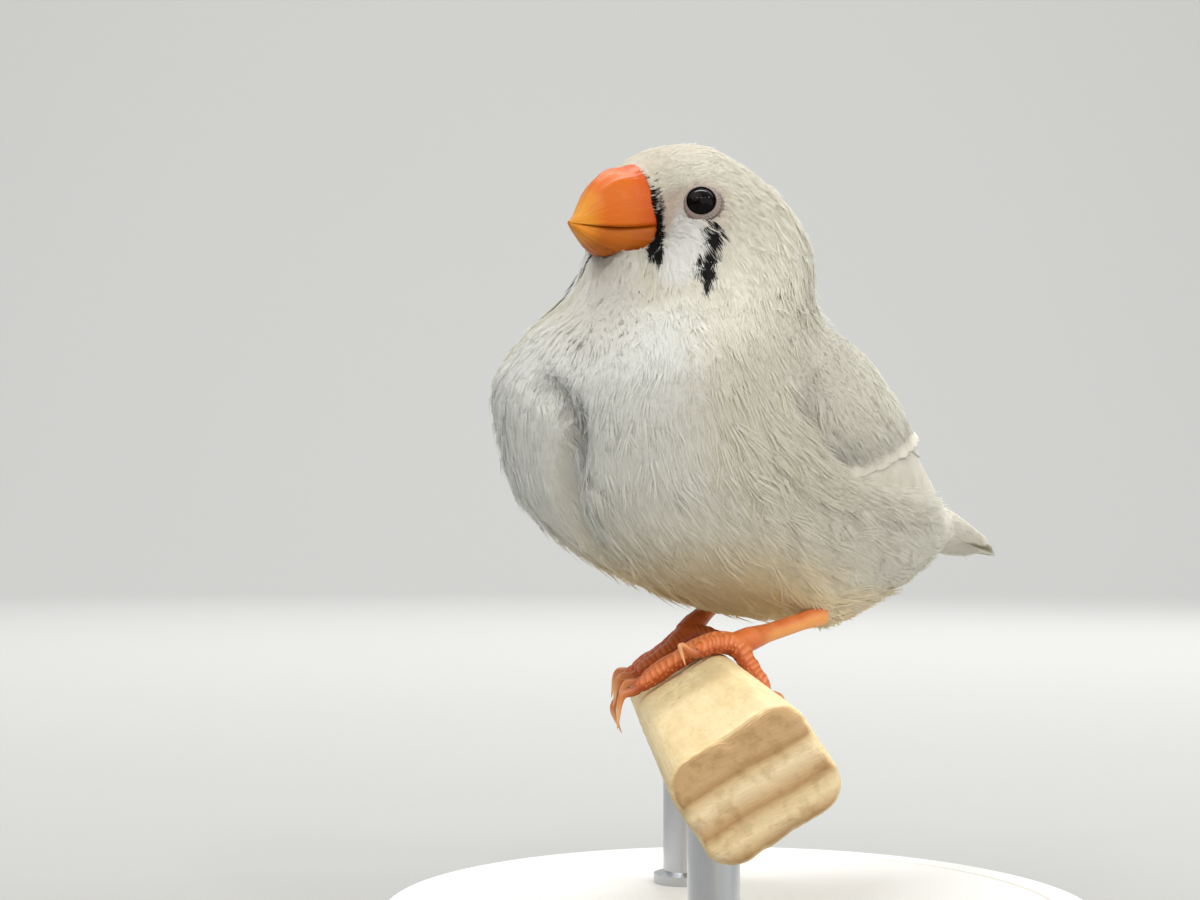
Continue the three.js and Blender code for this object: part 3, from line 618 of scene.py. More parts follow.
def spread_roots(rng, first, last):
    """Roots spread at random over part of the body, as many in each small cell as its area asks for."""
    stations = np.linspace(first, last, int((last - first) * 24) + 1)
    angles = np.arange(-90, 270, 3.0)
    s, a = np.meshgrid(stations[:-1], angles, indexing="ij")
    step = stations[1] - stations[0]
    s, a = s.ravel(), a.ravel()
    down = body_point(s + step, a + 1.5) - body_point(s, a + 1.5)
    across = body_point(s + step / 2, a + 3) - body_point(s + step / 2, a)
    area = np.linalg.norm(np.cross(down, across), axis=1)
    wanted = area * feather_density(s + step / 2, elevation(a + 1.5))
    count = np.floor(wanted + rng.random(len(wanted))).astype(int)
    s, a = np.repeat(s, count), np.repeat(a, count)
    return s + rng.random(len(s)) * step, a + rng.random(len(a)) * 3


def wander(points, scale, seed):
    """Smooth random numbers from -1 to 1, which bend the lie of neighbouring feathers alike."""
    rng = np.random.default_rng(seed)
    total = np.zeros(len(points))
    for turn in range(6):
        way = rng.normal(size=3)
        way *= (0.7 + 0.6 * rng.random()) / (scale * np.linalg.norm(way))
        total += np.sin(points @ way + rng.random() * 6.28)
    return total / 3.0


# %% A mesh of fans from their roots, middles and tips
def lay_fans(name, root, rings, length, spread, rng, tones, cells):
    """rings are (place, out, side) at the root, the middle and the tip, and cells the places on OFBake."""
    count = len(length)
    barb = (np.arange(BARBS) + 0.5) / BARBS * 2 - 1
    fan = barb[None, :] + rng.uniform(-0.22, 0.22, (count, BARBS))
    reach = 1 - 0.3 * fan ** 2 - 0.12 * rng.random((count, BARBS))
    half_fan = np.clip(0.16 * length, 0.12, 0.62)[:, None]
    breadth = half_fan * np.reshape(spread, (-1, 1))
    thick = half_fan * rng.uniform(0.6, 1.0, (count, BARBS)) * BARB_HALF_WIDTH
    tilt = rng.normal(0, 0.22, (count, BARBS))
    parted = rng.normal(0, 0.016, (count, BARBS)) * np.clip(length / 3, 0.2, 1)[:, None]

    def lay(ring, offset, half, share):
        place, way_out, way_side = ring
        way_out, way_side = way_out[:, None], way_side[:, None]
        centre = root[:, None] + (place - root)[:, None] * share[..., None] + way_side * offset[..., None]
        centre = centre + way_out * (parted * (half is not foot))[..., None]
        edge = way_side * (half * np.cos(tilt))[..., None] + way_out * (half * np.sin(tilt))[..., None]
        return centre - edge, centre + edge

    foot = thick * 0.6
    foot_a, foot_b = lay(rings[0], fan * breadth * 0.25, foot, np.ones_like(reach))
    mid_a, mid_b = lay(rings[1], fan * breadth * 0.8, thick, 0.75 + 0.25 * reach)
    tip, _ = lay(rings[2], fan * breadth * 1.25, thick * 0, reach)
    corners = np.stack([foot_a, foot_b, mid_a, mid_b, tip], axis=2)
    total = count * BARBS
    barb_faces = np.array([[0, 3, 1], [0, 2, 3], [2, 4, 3]])
    faces = (np.arange(total)[:, None, None] * 5 + barb_faces).reshape(-1, 3)
    mesh = bpy.data.meshes.new(name)
    mesh.vertices.add(total * 5)
    mesh.vertices.foreach_set("co", (corners.reshape(-1, 3) * MM).ravel())
    mesh.loops.add(len(faces) * 3)
    mesh.loops.foreach_set("vertex_index", faces.ravel())
    mesh.polygons.add(len(faces))
    mesh.polygons.foreach_set("loop_start", np.arange(0, len(faces) * 3, 3))
    mesh.update()
    # each barb's colour is painted darker towards its root, a painted shade deep inside the coat
    paint(mesh, np.repeat(tones, BARBS, 0)[:, None] * np.array([0.9, 0.9, 0.97, 0.97, 1.0])[None, :, None])
    u = cells[0][:, None, None] + TUFT_PATCH * fan[..., None] / 2.4
    v = cells[1][:, None, None] + TUFT_PATCH * np.array([-0.5, -0.5, 0, 0, 0.5])
    spots = np.stack(np.broadcast_arrays(u, v), axis=-1).reshape(-1, 2)
    uv = mesh.uv_layers.new(name="OFBake")
    uv.data.foreach_set("uv", np.clip(spots, 0, 1)[faces.ravel()].astype(np.float32).ravel())
    mesh.polygons.foreach_set("use_smooth", np.ones(len(faces), bool))
    normals = np.repeat(np.stack([rings[k][1] for k in (0, 0, 1, 1, 2)], axis=1), BARBS, 0)
    normals += ROUGHED * np.sin(tilt).reshape(-1, 1, 1) * np.repeat(rings[0][2], BARBS, 0)[:, None]
    normals /= np.linalg.norm(normals, axis=2, keepdims=True)
    mesh.normals_split_custom_set_from_vertices(normals.reshape(-1, 3).astype(np.float32).tolist())
    piece = bpy.data.objects.new(name, mesh)
    bpy.context.scene.collection.objects.link(piece)
    return piece


# %% Feathers on the body, and on what lies over it
def looseness(station, height, points):
    """The share of feathers that stand loose, most of them about the ankles and the vent."""
    share = 0.03 + 0.16 * smoothstep(station, 11.2, 12.4) * smoothstep(-height, 10, 50)
    for foot in ANKLES:
        share = np.maximum(share, 0.75 * (1 - smoothstep(np.linalg.norm(points - foot, axis=1), 2.6, 4.6)))
    return share


def grow_feathers(name, station, angle, rng, first, last, node, slot, base=None, shorter=1.0, rise=None,
                  bend=0.0, shade=1.0, facing=(0, 0, 0)):
    """base is how high above the body's outline the feathers' own ground lies, as numbers or a function of
    the place, and rise lifts their tips. facing turns the way they catch the light, more so at the belly."""
    ground = base if callable(base) else None
    count = len(station)
    height = elevation(angle)
    depth = coat_depth(station, angle) if base is None else np.full(count, 0.7)
    facing = facing + np.outer(smoothstep(-height, 5, 70) * smoothstep(station, 6, 9), BELLY_FACING)
    if ground:
        base = ground(station, angle)
    elif base is None:
        base = 0.22 * (1 - smoothstep(to_eye(body_point(station, height)), 2.0, 3.3))
    length = feather_length(station, height) * rng.uniform(0.75, 1.2, count) * shorter
    root, out, _, side = body_frame(station, angle, base - depth - SUNK)
    loose = rng.random(count) < looseness(station, height, body_point(station, angle))
    length = length * np.where(loose, 1.3, 1.0)
    turning = np.where(np.cos(np.radians(angle)) > 0, 1.0, -1.0)
    calm = 1 - 0.55 * smoothstep(station, 4, 5.5) * (1 - smoothstep(station, 9, 10.5))
    astray = 7 * wander(root, 5.0, 3) + 4 * wander(root, 1.8, 5) + rng.normal(0, 4, count)
    lean = np.radians(calm * astray + np.where(loose, rng.normal(0, 18, count), 0)) + turning * bend
    per_station = body_point(station + 0.1, angle) - body_point(station - 0.1, angle)
    per_degree = body_point(station, angle + 2) - body_point(station, angle - 2)
    mm_station = np.linalg.norm(per_station, axis=1) * 5
    mm_angle = np.linalg.norm(per_degree, axis=1) / 4
    lifted = 0.5 + rng.uniform(-0.25, 0.35, count) + 0.3 * wander(root, 3.0, 11)
    tip_lift = np.minimum(0.07 * depth, 0.08) * lifted
    tip_lift = tip_lift + np.where(loose, rng.uniform(0.1, 0.6, count) * depth, 0)
    if rise is not None:
        tip_lift = tip_lift + rise
    rings = [(root, out + facing, side)]
    for share, shown in ((0.45, 0.87), (1.0, 1.0)):
        far_station = station + length * share * np.cos(lean) / np.maximum(mm_station, 1.5)
        past = np.maximum(far_station - LAST, 0)
        far_angle = angle + np.clip(length * share * np.sin(lean) / np.maximum(mm_angle, 0.04), -14, 14)
        lift = ground(far_station, far_angle) if ground else base
        lift = lift - depth * (1 - shown) + tip_lift * share
        place, place_out, place_back, place_side = body_frame(np.minimum(far_station, LAST), far_angle, lift)
        place = place + place_back * (past * 3.0)[:, None]
        rings.append((place, place_out + facing, place_side))
    mottled = 0.05 + 0.1 * (1 - smoothstep(station, 1.0, 2.0)) * (height < 15)
    tones = plumage_colour(station, angle, rng.random(count)) * (1.02 - mottled * rng.random(count))[:, None]
    # shade multiplies the colour: below 1 it is a painted shade, above 1 a painted light
    tones = tones * np.reshape(shade, (-1, 1))
    cells = ((angle + 90) / 360, (station - first) / (last - first))
    piece = lay_fans(name, root, rings, length, 1.0 + 0.4 * loose, rng, tones, cells)
    dress(piece, barbs, slot, node)
    return piece


# %% [markdown]
# Feather keratin without pigment is clear. It looks white because its barbs scatter light, and some of the
# light that falls on one barb passes through to the next. So the material is rough, lets a part of the light
# through, has a soft sheen, and takes its colour from the plumage attribute. That keeps the coat silky and
# free of hard dark gaps.

# %% Material of the loose barbs, and the coat
def let_through(tree, shader, colour_socket, share):
    """Gives a thin sheet its colour and lets this share of the light pass through it."""
    tree.links.new(colour_socket, shader.inputs["Base Color"])
    through = add(tree, "ShaderNodeBsdfTranslucent", links={"Color": colour_socket})
    both = add(tree, "ShaderNodeMixShader", {"Fac": share})
    tree.links.new(shader.outputs["BSDF"], both.inputs[1])
    tree.links.new(through.outputs["BSDF"], both.inputs[2])
    tree.links.new(both.outputs["Shader"], tree.nodes["Material Output"].inputs["Surface"])


barbs, tree, shader = new_material("white_feather_keratin_barbs", {
    "Roughness": 0.62, "Specular IOR Level": 0.25, "Sheen Weight": 0.12, "Sheen Roughness": 0.5})
let_through(tree, shader, plumage_socket(tree), 0.55)

COAT = [("coat_face", 0.02, 1.6, "head"), ("coat_crown", 1.6, 3.0, "head"), ("coat_nape", 3.0, 4.4, "neck"),
        ("coat_throat", 4.4, 5.7, "torso"), ("coat_shoulders", 5.7, 7.0, "torso"),
        ("coat_breast", 7.0, 8.4, "torso"), ("coat_flanks", 8.4, 9.9, "torso"),
        ("coat_belly", 9.9, 11.4, "torso"), ("coat_vent", 11.4, 15.0, "torso")]
rng = np.random.default_rng(SEED)
for name, first, last, node in COAT:
    station, angle = spread_roots(rng, first, last)
    # feathers stand clear of the lids, whose ring is narrower above and in front
    from_eye = body_point(station, elevation(angle)) - body_point(EYE_STATION, EYE_ELEVATION)
    clear = np.where(from_eye[:, 2] - 0.5 * from_eye[:, 1] > 0.6, 1.66, 2.0)
    kept = np.linalg.norm(from_eye, axis=1) > clear
    slot = "plumage_head" if node == "head" else "plumage_body"
    grow_feathers(name, station[kept], angle[kept], rng, first, last, node, slot)


# %% [markdown]
# A fluffed throat swells forward under the bill and hides the hollow between chin and breast. So a second
# layer of feathers grows there from a ground that stands out by up to 3.6 mm and sinks back to the sides.

# %% The fluffed throat
down, u, v = flat_grid("coat_chin_down", 60, 50, "OFBake")
station, angle = v * 5.4, 195 + u * 150
ground = throat_swell(station, elevation(angle))
laid, *_ = body_frame(station, angle, ground - np.where(ground > 0.5, 0.28, 0.78 - ground))
set_points(down, laid * MM)
paint(down.data, plumage_colour(station, angle, np.full(len(laid), 0.5)))
bpy.ops.object.shade_smooth()
dress(down, barbs, "plumage_head", "head")
count = 7700
station = 0.02 + 5.6 * rng.random(count) ** 1.15
angle = 270 + rng.uniform(-76, 76, count)
swell = throat_swell(station, elevation(angle))
grow_feathers("coat_chin", station, angle, rng, 0.0, 5.8, "head", "plumage_head",
              base=lambda station, angle: throat_swell(station, elevation(angle)) + SUNK,
              facing=np.outer(smoothstep(swell, 0.1, 2.0), THROAT_FACING))

# %% [markdown]
# Two places need feathers on a form of their own. Short bristles start on the horn all round the bill's base,
# and the long tail coverts make the tail's root thick and round. Each form is a tube: a distance along it and
# an angle round it.

# %% Feathers on a form of their own
def grow_on(name, tube, along, angle, length, rng, tones, slot, node, sunk, lifted, reach):
    """tube(along, angle) gives millimetres. The fans' roots lie sunk below it and their tips lifted above."""
    rings = []
    for share, lift in ((0.0, -sunk), (0.45, 0.0), (1.0, lifted)):
        here = along + length * share
        back = tube(here + 0.05, angle) - tube(here - 0.05, angle)
        around = tube(here, angle + 2) - tube(here, angle - 2)
        out = np.cross(back, around)
        out /= np.maximum(np.linalg.norm(out, axis=1), 1e-9)[:, None]
        side = np.cross(out, back / np.maximum(np.linalg.norm(back, axis=1), 1e-9)[:, None])
        rings.append((tube(here, angle) + out * np.reshape(lift, (-1, 1)), out, side))
    cells = ((np.asarray(angle) + 90) % 360 / 360, 0.02 + 0.96 * (along - reach[0]) / (reach[1] - reach[0]))
    piece = lay_fans(name, rings[0][0], rings, length, np.ones(len(length)), rng,
                     tones * rng.uniform(0.95, 1.03, (len(length), 1)), cells)
    dress(piece, barbs, slot, node)
    return piece


def bill_edge_form(along, angle):
    forward = turn_head(np.array([0.0, FEET_Y - 1.0, 0.0]), 1.0) - np.array([0, FEET_Y, 0])
    on_face = body_point(np.maximum(along, 0) / 2.4, angle)
    return on_face - forward * np.minimum(along, 0)[:, None]


count = 1500
angle = rng.random(count) * 360
along = rng.uniform(-0.55, 0.1, count)
tones = plumage_colour(np.zeros(count), angle, rng.random(count))
grow_on("coat_bill_edge", bill_edge_form, along, angle, rng.uniform(0.55, 0.95, count), rng, tones,
        "plumage_head", "head", 0.25, 0.05, (-0.55, 0.1))


def tail_covert_form(along, angle):
    """Round the tail's root, from the rump's and the vent's last feathers back along the tail."""
    back = 44 + along
    top = np.interp(back, [44, 47, 50, 53, 56, 59, 62, 64], [22.8, 23.4, 23.4, 22.7, 21.4, 20.0, 18.8, 18.1])
    bottom = np.interp(back, [44, 47, 50, 53, 56, 59, 62], [17.2, 17.2, 17.2, 17.0, 16.8, 16.6, 16.6])
    half = np.interp(back, [44, 47, 50, 55, 60, 64], [4.6, 4.6, 4.3, 3.7, 3.1, 2.7])
    middle = 21.9 - 0.207 * (back - 43)
    turn = np.radians(angle)
    rise = np.sin(turn)
    up = middle + np.where(rise > 0, np.maximum(top - middle, 0.15), np.maximum(middle - bottom, 0.15)) * rise
    return bird_point(half * np.cos(turn), -back, up)


count = 3600
angle = rng.random(count) * 360
along = 11.0 * rng.random(count) ** 1.1
tones = mixed(colour("rump")[None], colour("crown"), 0.5 * (np.sin(np.radians(angle)) > 0))
grow_on("coat_tail_coverts", tail_covert_form, along, angle, rng.uniform(3.8, 5.6, count), rng, tones,
        "plumage_tail", "tail", 0.5, 0.12, (0.0, 11.0))

# %% [markdown]
# ## Wing and tail feathers
#
# A flight feather is a stiff vane: a shaft with a web of barbs on either side, which its neighbour covers by
# half, like a roof tile. One feather is modelled from a grid, with its outline, its shaft's low ridge and its
# hollow underside, and is then copied for each place on the wing, each copy with its own mesh. The wing is
# folded over the body's side, so a place on it is a share along it and a share across it.

# %% One feather, modelled once
pattern, u, along = flat_grid("feather_pattern", 10, 18, "vane")
across = 2 * u - 1
outline = np.interp(along, [0, 0.1, 0.35, 0.7, 0.86, 0.94, 0.98, 1.0],
                    [0.25, 0.55, 0.92, 1.0, 0.86, 0.62, 0.4, 0.16])
shaft = 0.10 * np.exp(-(across / 0.07) ** 2) * (1 - 0.7 * along)
hollow = 0.16 * across ** 2
slant = 0.06 * across ** 2 * smoothstep(along, 0.5, 1.0)
set_points(pattern, np.stack([across * outline, along - slant, shaft - hollow], axis=1))
print("one feather has", len(pattern.data.polygons) * 2, "triangles")

# %% Places on the folded wing
WING_FROM, WING_TO, WING_LIFT = 6.35, 11.3, 0.6
EDGES = {"top": [(0, 36), (0.25, 60), (0.55, 70), (0.85, 76), (1, 74)],
         "low": [(0, 4), (0.12, -8), (0.28, -12), (0.42, -10), (0.58, -3), (0.76, 10), (1, 29)]}
EDGES = {name: smooth_line(np.array(knots, float), np.linspace(0, len(knots) - 1.001, 200))
         for name, knots in EDGES.items()}


def wing_edge(name, share):
    return np.interp(share, EDGES[name][:, 0], EDGES[name][:, 1])


def on_wing(side, share, across, lift):
    low, top = (wing_edge(name, np.minimum(share, 1)) for name in ("low", "top"))
    angle = low + (top - low) * across
    angle = angle if side > 0 else 180 - angle
    place, *_ = body_frame(WING_FROM + (WING_TO - WING_FROM) * share, angle, WING_LIFT + lift)
    return place


# rows: how many, first and last root, first and last tip, half width, rise towards the tip
WING_ROWS = {
    "primaries": (8, (0.5, 0.1), (0.5, 0.42), (1.1, 0.3), (0.9, 0.58), 0.13, 0.05),
    "secondaries": (6, (0.48, 0.46), (0.48, 0.72), (0.87, 0.6), (0.84, 0.8), 0.12, 0.25),
    "tertials": (3, (0.46, 0.76), (0.4, 0.9), (0.88, 0.8), (0.76, 0.94), 0.13, 0.45),
    "greater_coverts": (12, (0.36, 0.1), (0.6, 0.92), (0.575, 0.16), (0.88, 0.92), 0.085, 0.5),
}


def copy_feather(name, surface, length, half, number, total, grey=1.0):
    """A copy of the pattern laid on a surface, with its own cell of the OFBake map. grey darkens it."""
    mesh = pattern.data.copy()
    mesh.name = name
    shaped = points_of(pattern)
    mesh.vertices.foreach_set("co", (surface(shaped[:, 1], shaped[:, 0], shaped[:, 2]) * MM).ravel())
    mesh.update()
    spot, above = surface(np.array([0.5, 0.5]), np.zeros(2), np.array([0.0, 1.0]))
    if sum(face.normal.dot(Vector(above - spot)) for face in list(mesh.polygons)[::7]) < 0:
        mesh.flip_normals()
    copy = bpy.data.objects.new(name, mesh)
    bpy.context.scene.collection.objects.link(copy)
    flat = read(mesh.uv_layers["vane"].data, "uv", 2)
    per_side = math.ceil(math.sqrt(total))
    corner = np.array([number % per_side, number // per_side]) / per_side
    baked = mesh.uv_layers.new(name="OFBake")
    baked.data.foreach_set("uv", (corner + (0.04 + 0.92 * flat) / per_side).ravel())
    # painted shade: each copy is painted darker along its edges, where the feathers above overlap it
    rim = smoothstep(np.abs(shaped[:, 0]) / np.maximum(outline, 0.05), 0.8, 1.0)
    warmth = np.array([1.0, 0.985, 0.95]) ** (4 * (1 - grey))
    paint(mesh, np.outer(grey * (1 - 2 * (1 - grey) * rim), warmth))
    # the vane map is in millimetres: across the shaft, and along it less the barbs' slant
    middle = (flat[:, 0] - 0.5) * 2 * half
    slanted = flat[:, 1] * length - np.abs(middle) * 1.1
    mesh.uv_layers["vane"].data.foreach_set("uv", np.stack([middle, slanted + 40 * number], 1).ravel())
    return copy


# %% [markdown]
# The vane's web is the same clear keratin as the down, but its barbs hook together into a smooth sheet with a
# silky streak. Real barbs stand 0.05 mm apart, too fine to show here, so the streaks are drawn 0.25 mm apart.
# The web is cream, and it is painted a little darker along each feather's edges, a painted shade where the
# feathers above overlap it.

# %% Material of the vanes
vanes, tree, shader = new_material("hooked_feather_vane", {
    "Roughness": 0.55, "Specular IOR Level": 0.3, "Sheen Weight": 0.1})
streak = cloud(tree, stretched(tree, own_map(tree, "vane"), (0.6, 4.0, 1.0)), 1.0, 3.0, Roughness=0.6)
blend = scaled(tree, streak, 0.55, cloud(tree, own_place(tree), 260.0, 2.0))
web = ramp(tree, blend, (0.45, "#D3CCBA"), (0.75, "#E5E0D1"), (1.0, "#EEEADF"))
bump(tree, shader, streak, 0.00012, 0.5)
let_through(tree, shader, tinted(tree, web, plumage_socket(tree)), 0.2)

# %% Lay both wings
total = sum(count for count, *_ in WING_ROWS.values())
for side, which in ((1, "left"), (-1, "right")):
    feathers = []
    rng = np.random.default_rng(SEED + 1)
    for row, (count, root_a, root_b, tip_a, tip_b, half, rise) in WING_ROWS.items():
        for n in range(count):
            share = n / (count - 1)
            root = np.array(root_a) * (1 - share) + np.array(root_b) * share
            tip = np.array(tip_a) * (1 - share) + np.array(tip_b) * share
            tip = tip + rng.normal(0, 0.003 if row == "greater_coverts" else 0.006, 2)

            def surface(along, across, crown):
                middle = root + (tip - root) * along[:, None]
                bow = 0.03 * np.sin(along * math.pi)
                lift = 0.35 + rise * along - 0.36 * (across + 1) / 2 + crown * 0.9
                if row == "greater_coverts":
                    lift = lift + 0.75 * smoothstep(along, 0.58, 0.84) - 1.0 * smoothstep(along, 0.86, 1.0)
                    lift = lift * (0.25 + 0.75 * smoothstep(middle[:, 1], 0.1, 0.7))
                tucked = smoothstep(middle[:, 1] + across * half, 0.8, 1.04)
                lift = lift - tucked * (WING_LIFT + lift + 0.9)
                return on_wing(side, middle[:, 0], middle[:, 1] - bow + across * half, lift)

            ends = surface(np.array([0.0, 1.0]), np.zeros(2), np.zeros(2))
            length = np.linalg.norm(ends[1] - ends[0])
            grey = 0.92 if row == "primaries" else 0.94
            feathers.append(copy_feather(f"{row}_{which}_{n}", surface, length, half * 14,
                                         len(feathers), total, grey))
    dress(join_pieces(f"wing_feathers_{which}", feathers), vanes, "plumage_wing", f"wing_{which}")

# %% [markdown]
# The wing's small shoulder coverts are loose and silky again, like the body's, so they are grown as fans that
# start at the body's own height in front and climb over the first vanes. Below, long wisps of the flank's
# feathers reach up over the wing's lower edge, which beds the wing in the plumage.

# %% Soft shoulder coverts
def wing_ground(share, across):
    """How high the coverts' ground stands above the body's outline."""
    over = smoothstep(share, -0.1, 0.3) * smoothstep(across, -0.1, 0.25)
    return 1.6 * over * (1 - 0.75 * smoothstep(across, 0.8, 1.06))


def grow_on_wing(which, side):
    rng = np.random.default_rng(SEED + 2)
    count = 6400
    share = rng.random(count) * 0.7 - 0.08
    across = rng.random(count) * 1.1 - 0.04
    kept = share < 0.375 + 0.35 * across
    share, across = share[kept], across[kept]
    low, top = wing_edge("low", np.maximum(share, 0)), wing_edge("top", np.maximum(share, 0))
    angle = low + (top - low) * across
    station = WING_FROM + (WING_TO - WING_FROM) * share
    angle = angle if side > 0 else 180 - angle
    # painted shade: the coverts are painted darker just in front of the vanes behind, where a soft shadow
    # lies above their raised band, and along the wing's lower edge, where the flank's wisps overlap it
    shade = 1 - 0.1 * smoothstep(share - 0.35 * across, 0.26, 0.38)
    shade = shade * (1 - 0.22 * (1 - smoothstep(across, 0.02, 0.2)) * smoothstep(share, 0.05, 0.2))
    return grow_feathers(f"coat_wing_{which}", station, angle, rng, 5.8, 9.6, f"wing_{which}", "plumage_wing",
                         base=wing_ground(share, across), shorter=0.66, shade=shade)


grow_on_wing("left", 1)
grow_on_wing("right", -1)


# %% Wisps of the flank over the wing's lower edge
def grow_flank_wisps(which, side):
    rng = np.random.default_rng(SEED + 3)
    count = 2300
    share = rng.random(count) * 1.02 + 0.02
    under = rng.random(count) ** 0.8 * 14
    angle = wing_edge("low", np.minimum(share, 1)) + 3.0 + 3.0 * smoothstep(share, 0.4, 0.7) - under
    station = WING_FROM + (WING_TO - WING_FROM) * share
    rise = (1.4 + 0.7 * smoothstep(share, 0.4, 0.7)) * smoothstep(share, 0.0, 0.25)
    rise = rise * np.clip(1.15 - under / 14, 0, 1) * (1 - 0.75 * smoothstep(share, 0.75, 1.0))
    rise = rise + rng.uniform(0, 0.35, count)
    angle = angle if side > 0 else 180 - angle
    bend = np.radians(15 + 7 * smoothstep(share, 0.35, 0.6))
    # the wisps' colour is raised a little, a painted light that sets them off from the painted shade on the
    # wing's edge
    return grow_feathers(f"coat_wisps_{which}", station, angle, rng, 6.0, 12.0, "torso", "plumage_body",
                         rise=rise, bend=bend, shorter=1.05, shade=1.04)


grow_flank_wisps("left", 1)
grow_flank_wisps("right", -1)

# %% [markdown]
# ## Tail
#
# A zebra finch's tail has twelve feathers, the middle pair on top and each next pair a little shorter and
# further out. Its root is hidden by the long soft coverts of the rump.

# %% Lay the tail's twelve feathers
TAIL_ROOT, TAIL_TIP = np.array([-44.5, 21.6]), np.array([-65.8, 17.2])
tail_feathers = []
for pair in range(5, -1, -1):
    for side in (1, -1):
        def surface(along, across, crown):
            length = 1 - pair * 0.55 / 19.3
            middle = TAIL_ROOT + (TAIL_TIP - TAIL_ROOT) * (along * length)[:, None]
            left = side * (0.45 * (pair + 0.5) * (0.4 + 0.6 * along) - across * 2.5)
            lift = -0.3 * pair - 0.1 * (left / 2.1) ** 2 + crown * 1.2 + 0.35
            return bird_point(left, middle[:, 0], middle[:, 1] + lift)

        tail_feathers.append(copy_feather(f"tail_{pair}_{side}", surface, 21.0, 2.1, len(tail_feathers), 12))
dress(join_pieces("tail_feathers", tail_feathers), vanes, "plumage_tail", "tail")
bpy.data.objects.remove(pattern)

# %% [markdown]
# ## Shapes wrapped from a grid
#
# Bill, toes, claws and perch are all long closed forms with a changing section. Each starts as a grid whose
# columns go round the form and whose rows go along it. Once its corners are placed, its two side edges are
# merged, its open ends are filled, and its faces are turned outwards.

# %% Wrap a grid into a closed form
def wrapped_form(name, around, along, place, scale=MM):
    """place(u, v) gives millimetres, with u from 0 to 1 round the form and v from 0 to 1 along it."""
    piece, u, v = flat_grid(name, around, along, "form")
    set_points(piece, place(np.where(u > 0.9999, 0.0, u), v) * scale)
    close_form(0.002 * scale)
    return piece


# %% [markdown]
# ## Bill
#
# A seed-cracker's bill is a short deep cone of two horn sheaths. The upper one curves down to the tip and has
# its nostril at the base, half under the feathers. The lower one closes against its cutting edge, and a
# fine dark line shows between them. Both begin a little way inside the head.

# %% Model both halves of the bill
BILL_BASE, BILL_LONG, MOUTH, BILL_HALF = 11.2, 8.3, 52.9, 4.35
BILL_LINES = {
    "top": [(-0.12, 60.2), (0, 60), (0.3, 59.4), (0.55, 58), (0.72, 56.2), (0.87, 54.2), (1, 53.0)],
    "bottom": [(-0.12, 49.8), (0, 49.85), (0.35, 49.85), (0.56, 50.35), (0.76, 51.3), (0.9, 52.1),
               (1, 52.75)],
    "taper": [(-0.12, 1.02), (0, 1), (0.3, 0.87), (0.6, 0.58), (0.8, 0.32), (0.93, 0.15), (1, 0.045)],
}
BILL_LINES = {name: smooth_line(np.array(knots, float), np.linspace(0, len(knots) - 1.001, 300))
              for name, knots in BILL_LINES.items()}
NOSTRIL, NOSTRIL_DEEP, NOSTRIL_WIDE = (3.1, 11.35, 57.1), 0.55, 0.42
HORN_OUTSIDE = 0.72


def bill_line(name, share):
    return np.interp(share, BILL_LINES[name][:, 0], BILL_LINES[name][:, 1])


def bill_half(upper):
    def place(u, v):
        share = -0.12 + 1.12 * v ** 0.85
        bow = np.sin(np.clip(share, 0, 1) * math.pi)
        half = BILL_HALF * bill_line("taper", share)
        half = half * (1.0 if upper else 0.955 - 0.12 * smoothstep(share, 0.1, 0.6))
        half = half * (1 + (0.045 if upper else 0.08) * (1 - smoothstep(share, -0.02, 0.16)))
        mouth = MOUTH + (0.03 if upper else 0.06) - 0.35 * bow
        edge = bill_line("top" if upper else "bottom", share)
        edge = edge + (0.28 if upper else -0.4) * (1 - smoothstep(share, -0.02, 0.12 if upper else 0.3))
        reach = np.maximum(edge - mouth, 0.22) if upper else np.maximum(mouth - edge, 0.18)
        # the horn's outside takes the first part of the way round, and its closed inside the rest
        outside = u <= HORN_OUTSIDE
        arc = np.clip(u / HORN_OUTSIDE, 0, 1) * math.pi
        inner = np.clip((u - HORN_OUTSIDE) / (1 - HORN_OUTSIDE), 0, 1)
        left = half * np.where(outside, np.sign(np.cos(arc)) * np.abs(np.cos(arc)) ** 0.92, -1 + 2 * inner)
        ridge = 1 + (0.024 * np.sin(arc * 9 + 0.6) + 0.01 * np.sin(arc * 17)) * bow
        rise = np.where(outside, reach * np.sin(arc) ** (0.85 if upper else 0.5) * ridge,
                        0.16 * reach * np.sin(inner * math.pi))
        spots = np.stack([left, BILL_BASE + BILL_LONG * share, mouth + (1 if upper else -1) * rise], 1)
        if upper:
            for way in (1, -1):
                away = np.linalg.norm((spots - np.array(NOSTRIL) * [way, 1, 1]) * [1, 1, 1.3], axis=1)
                spots[:, 0] -= way * NOSTRIL_DEEP * np.exp(-(away / NOSTRIL_WIDE) ** 2)
        return turn_head(bird_point(spots[:, 0], spots[:, 1], spots[:, 2]), 1.0)

    return wrapped_form("bill_upper_horn" if upper else "bill_lower_horn", 96, 72, place)


# %% [markdown]
# The horn is keratin grown in long layers from the base, coloured orange by carotenoids. That shows as soft
# streaks from base to tip under a waxy shine, redder at the base and paler at the worn tip.

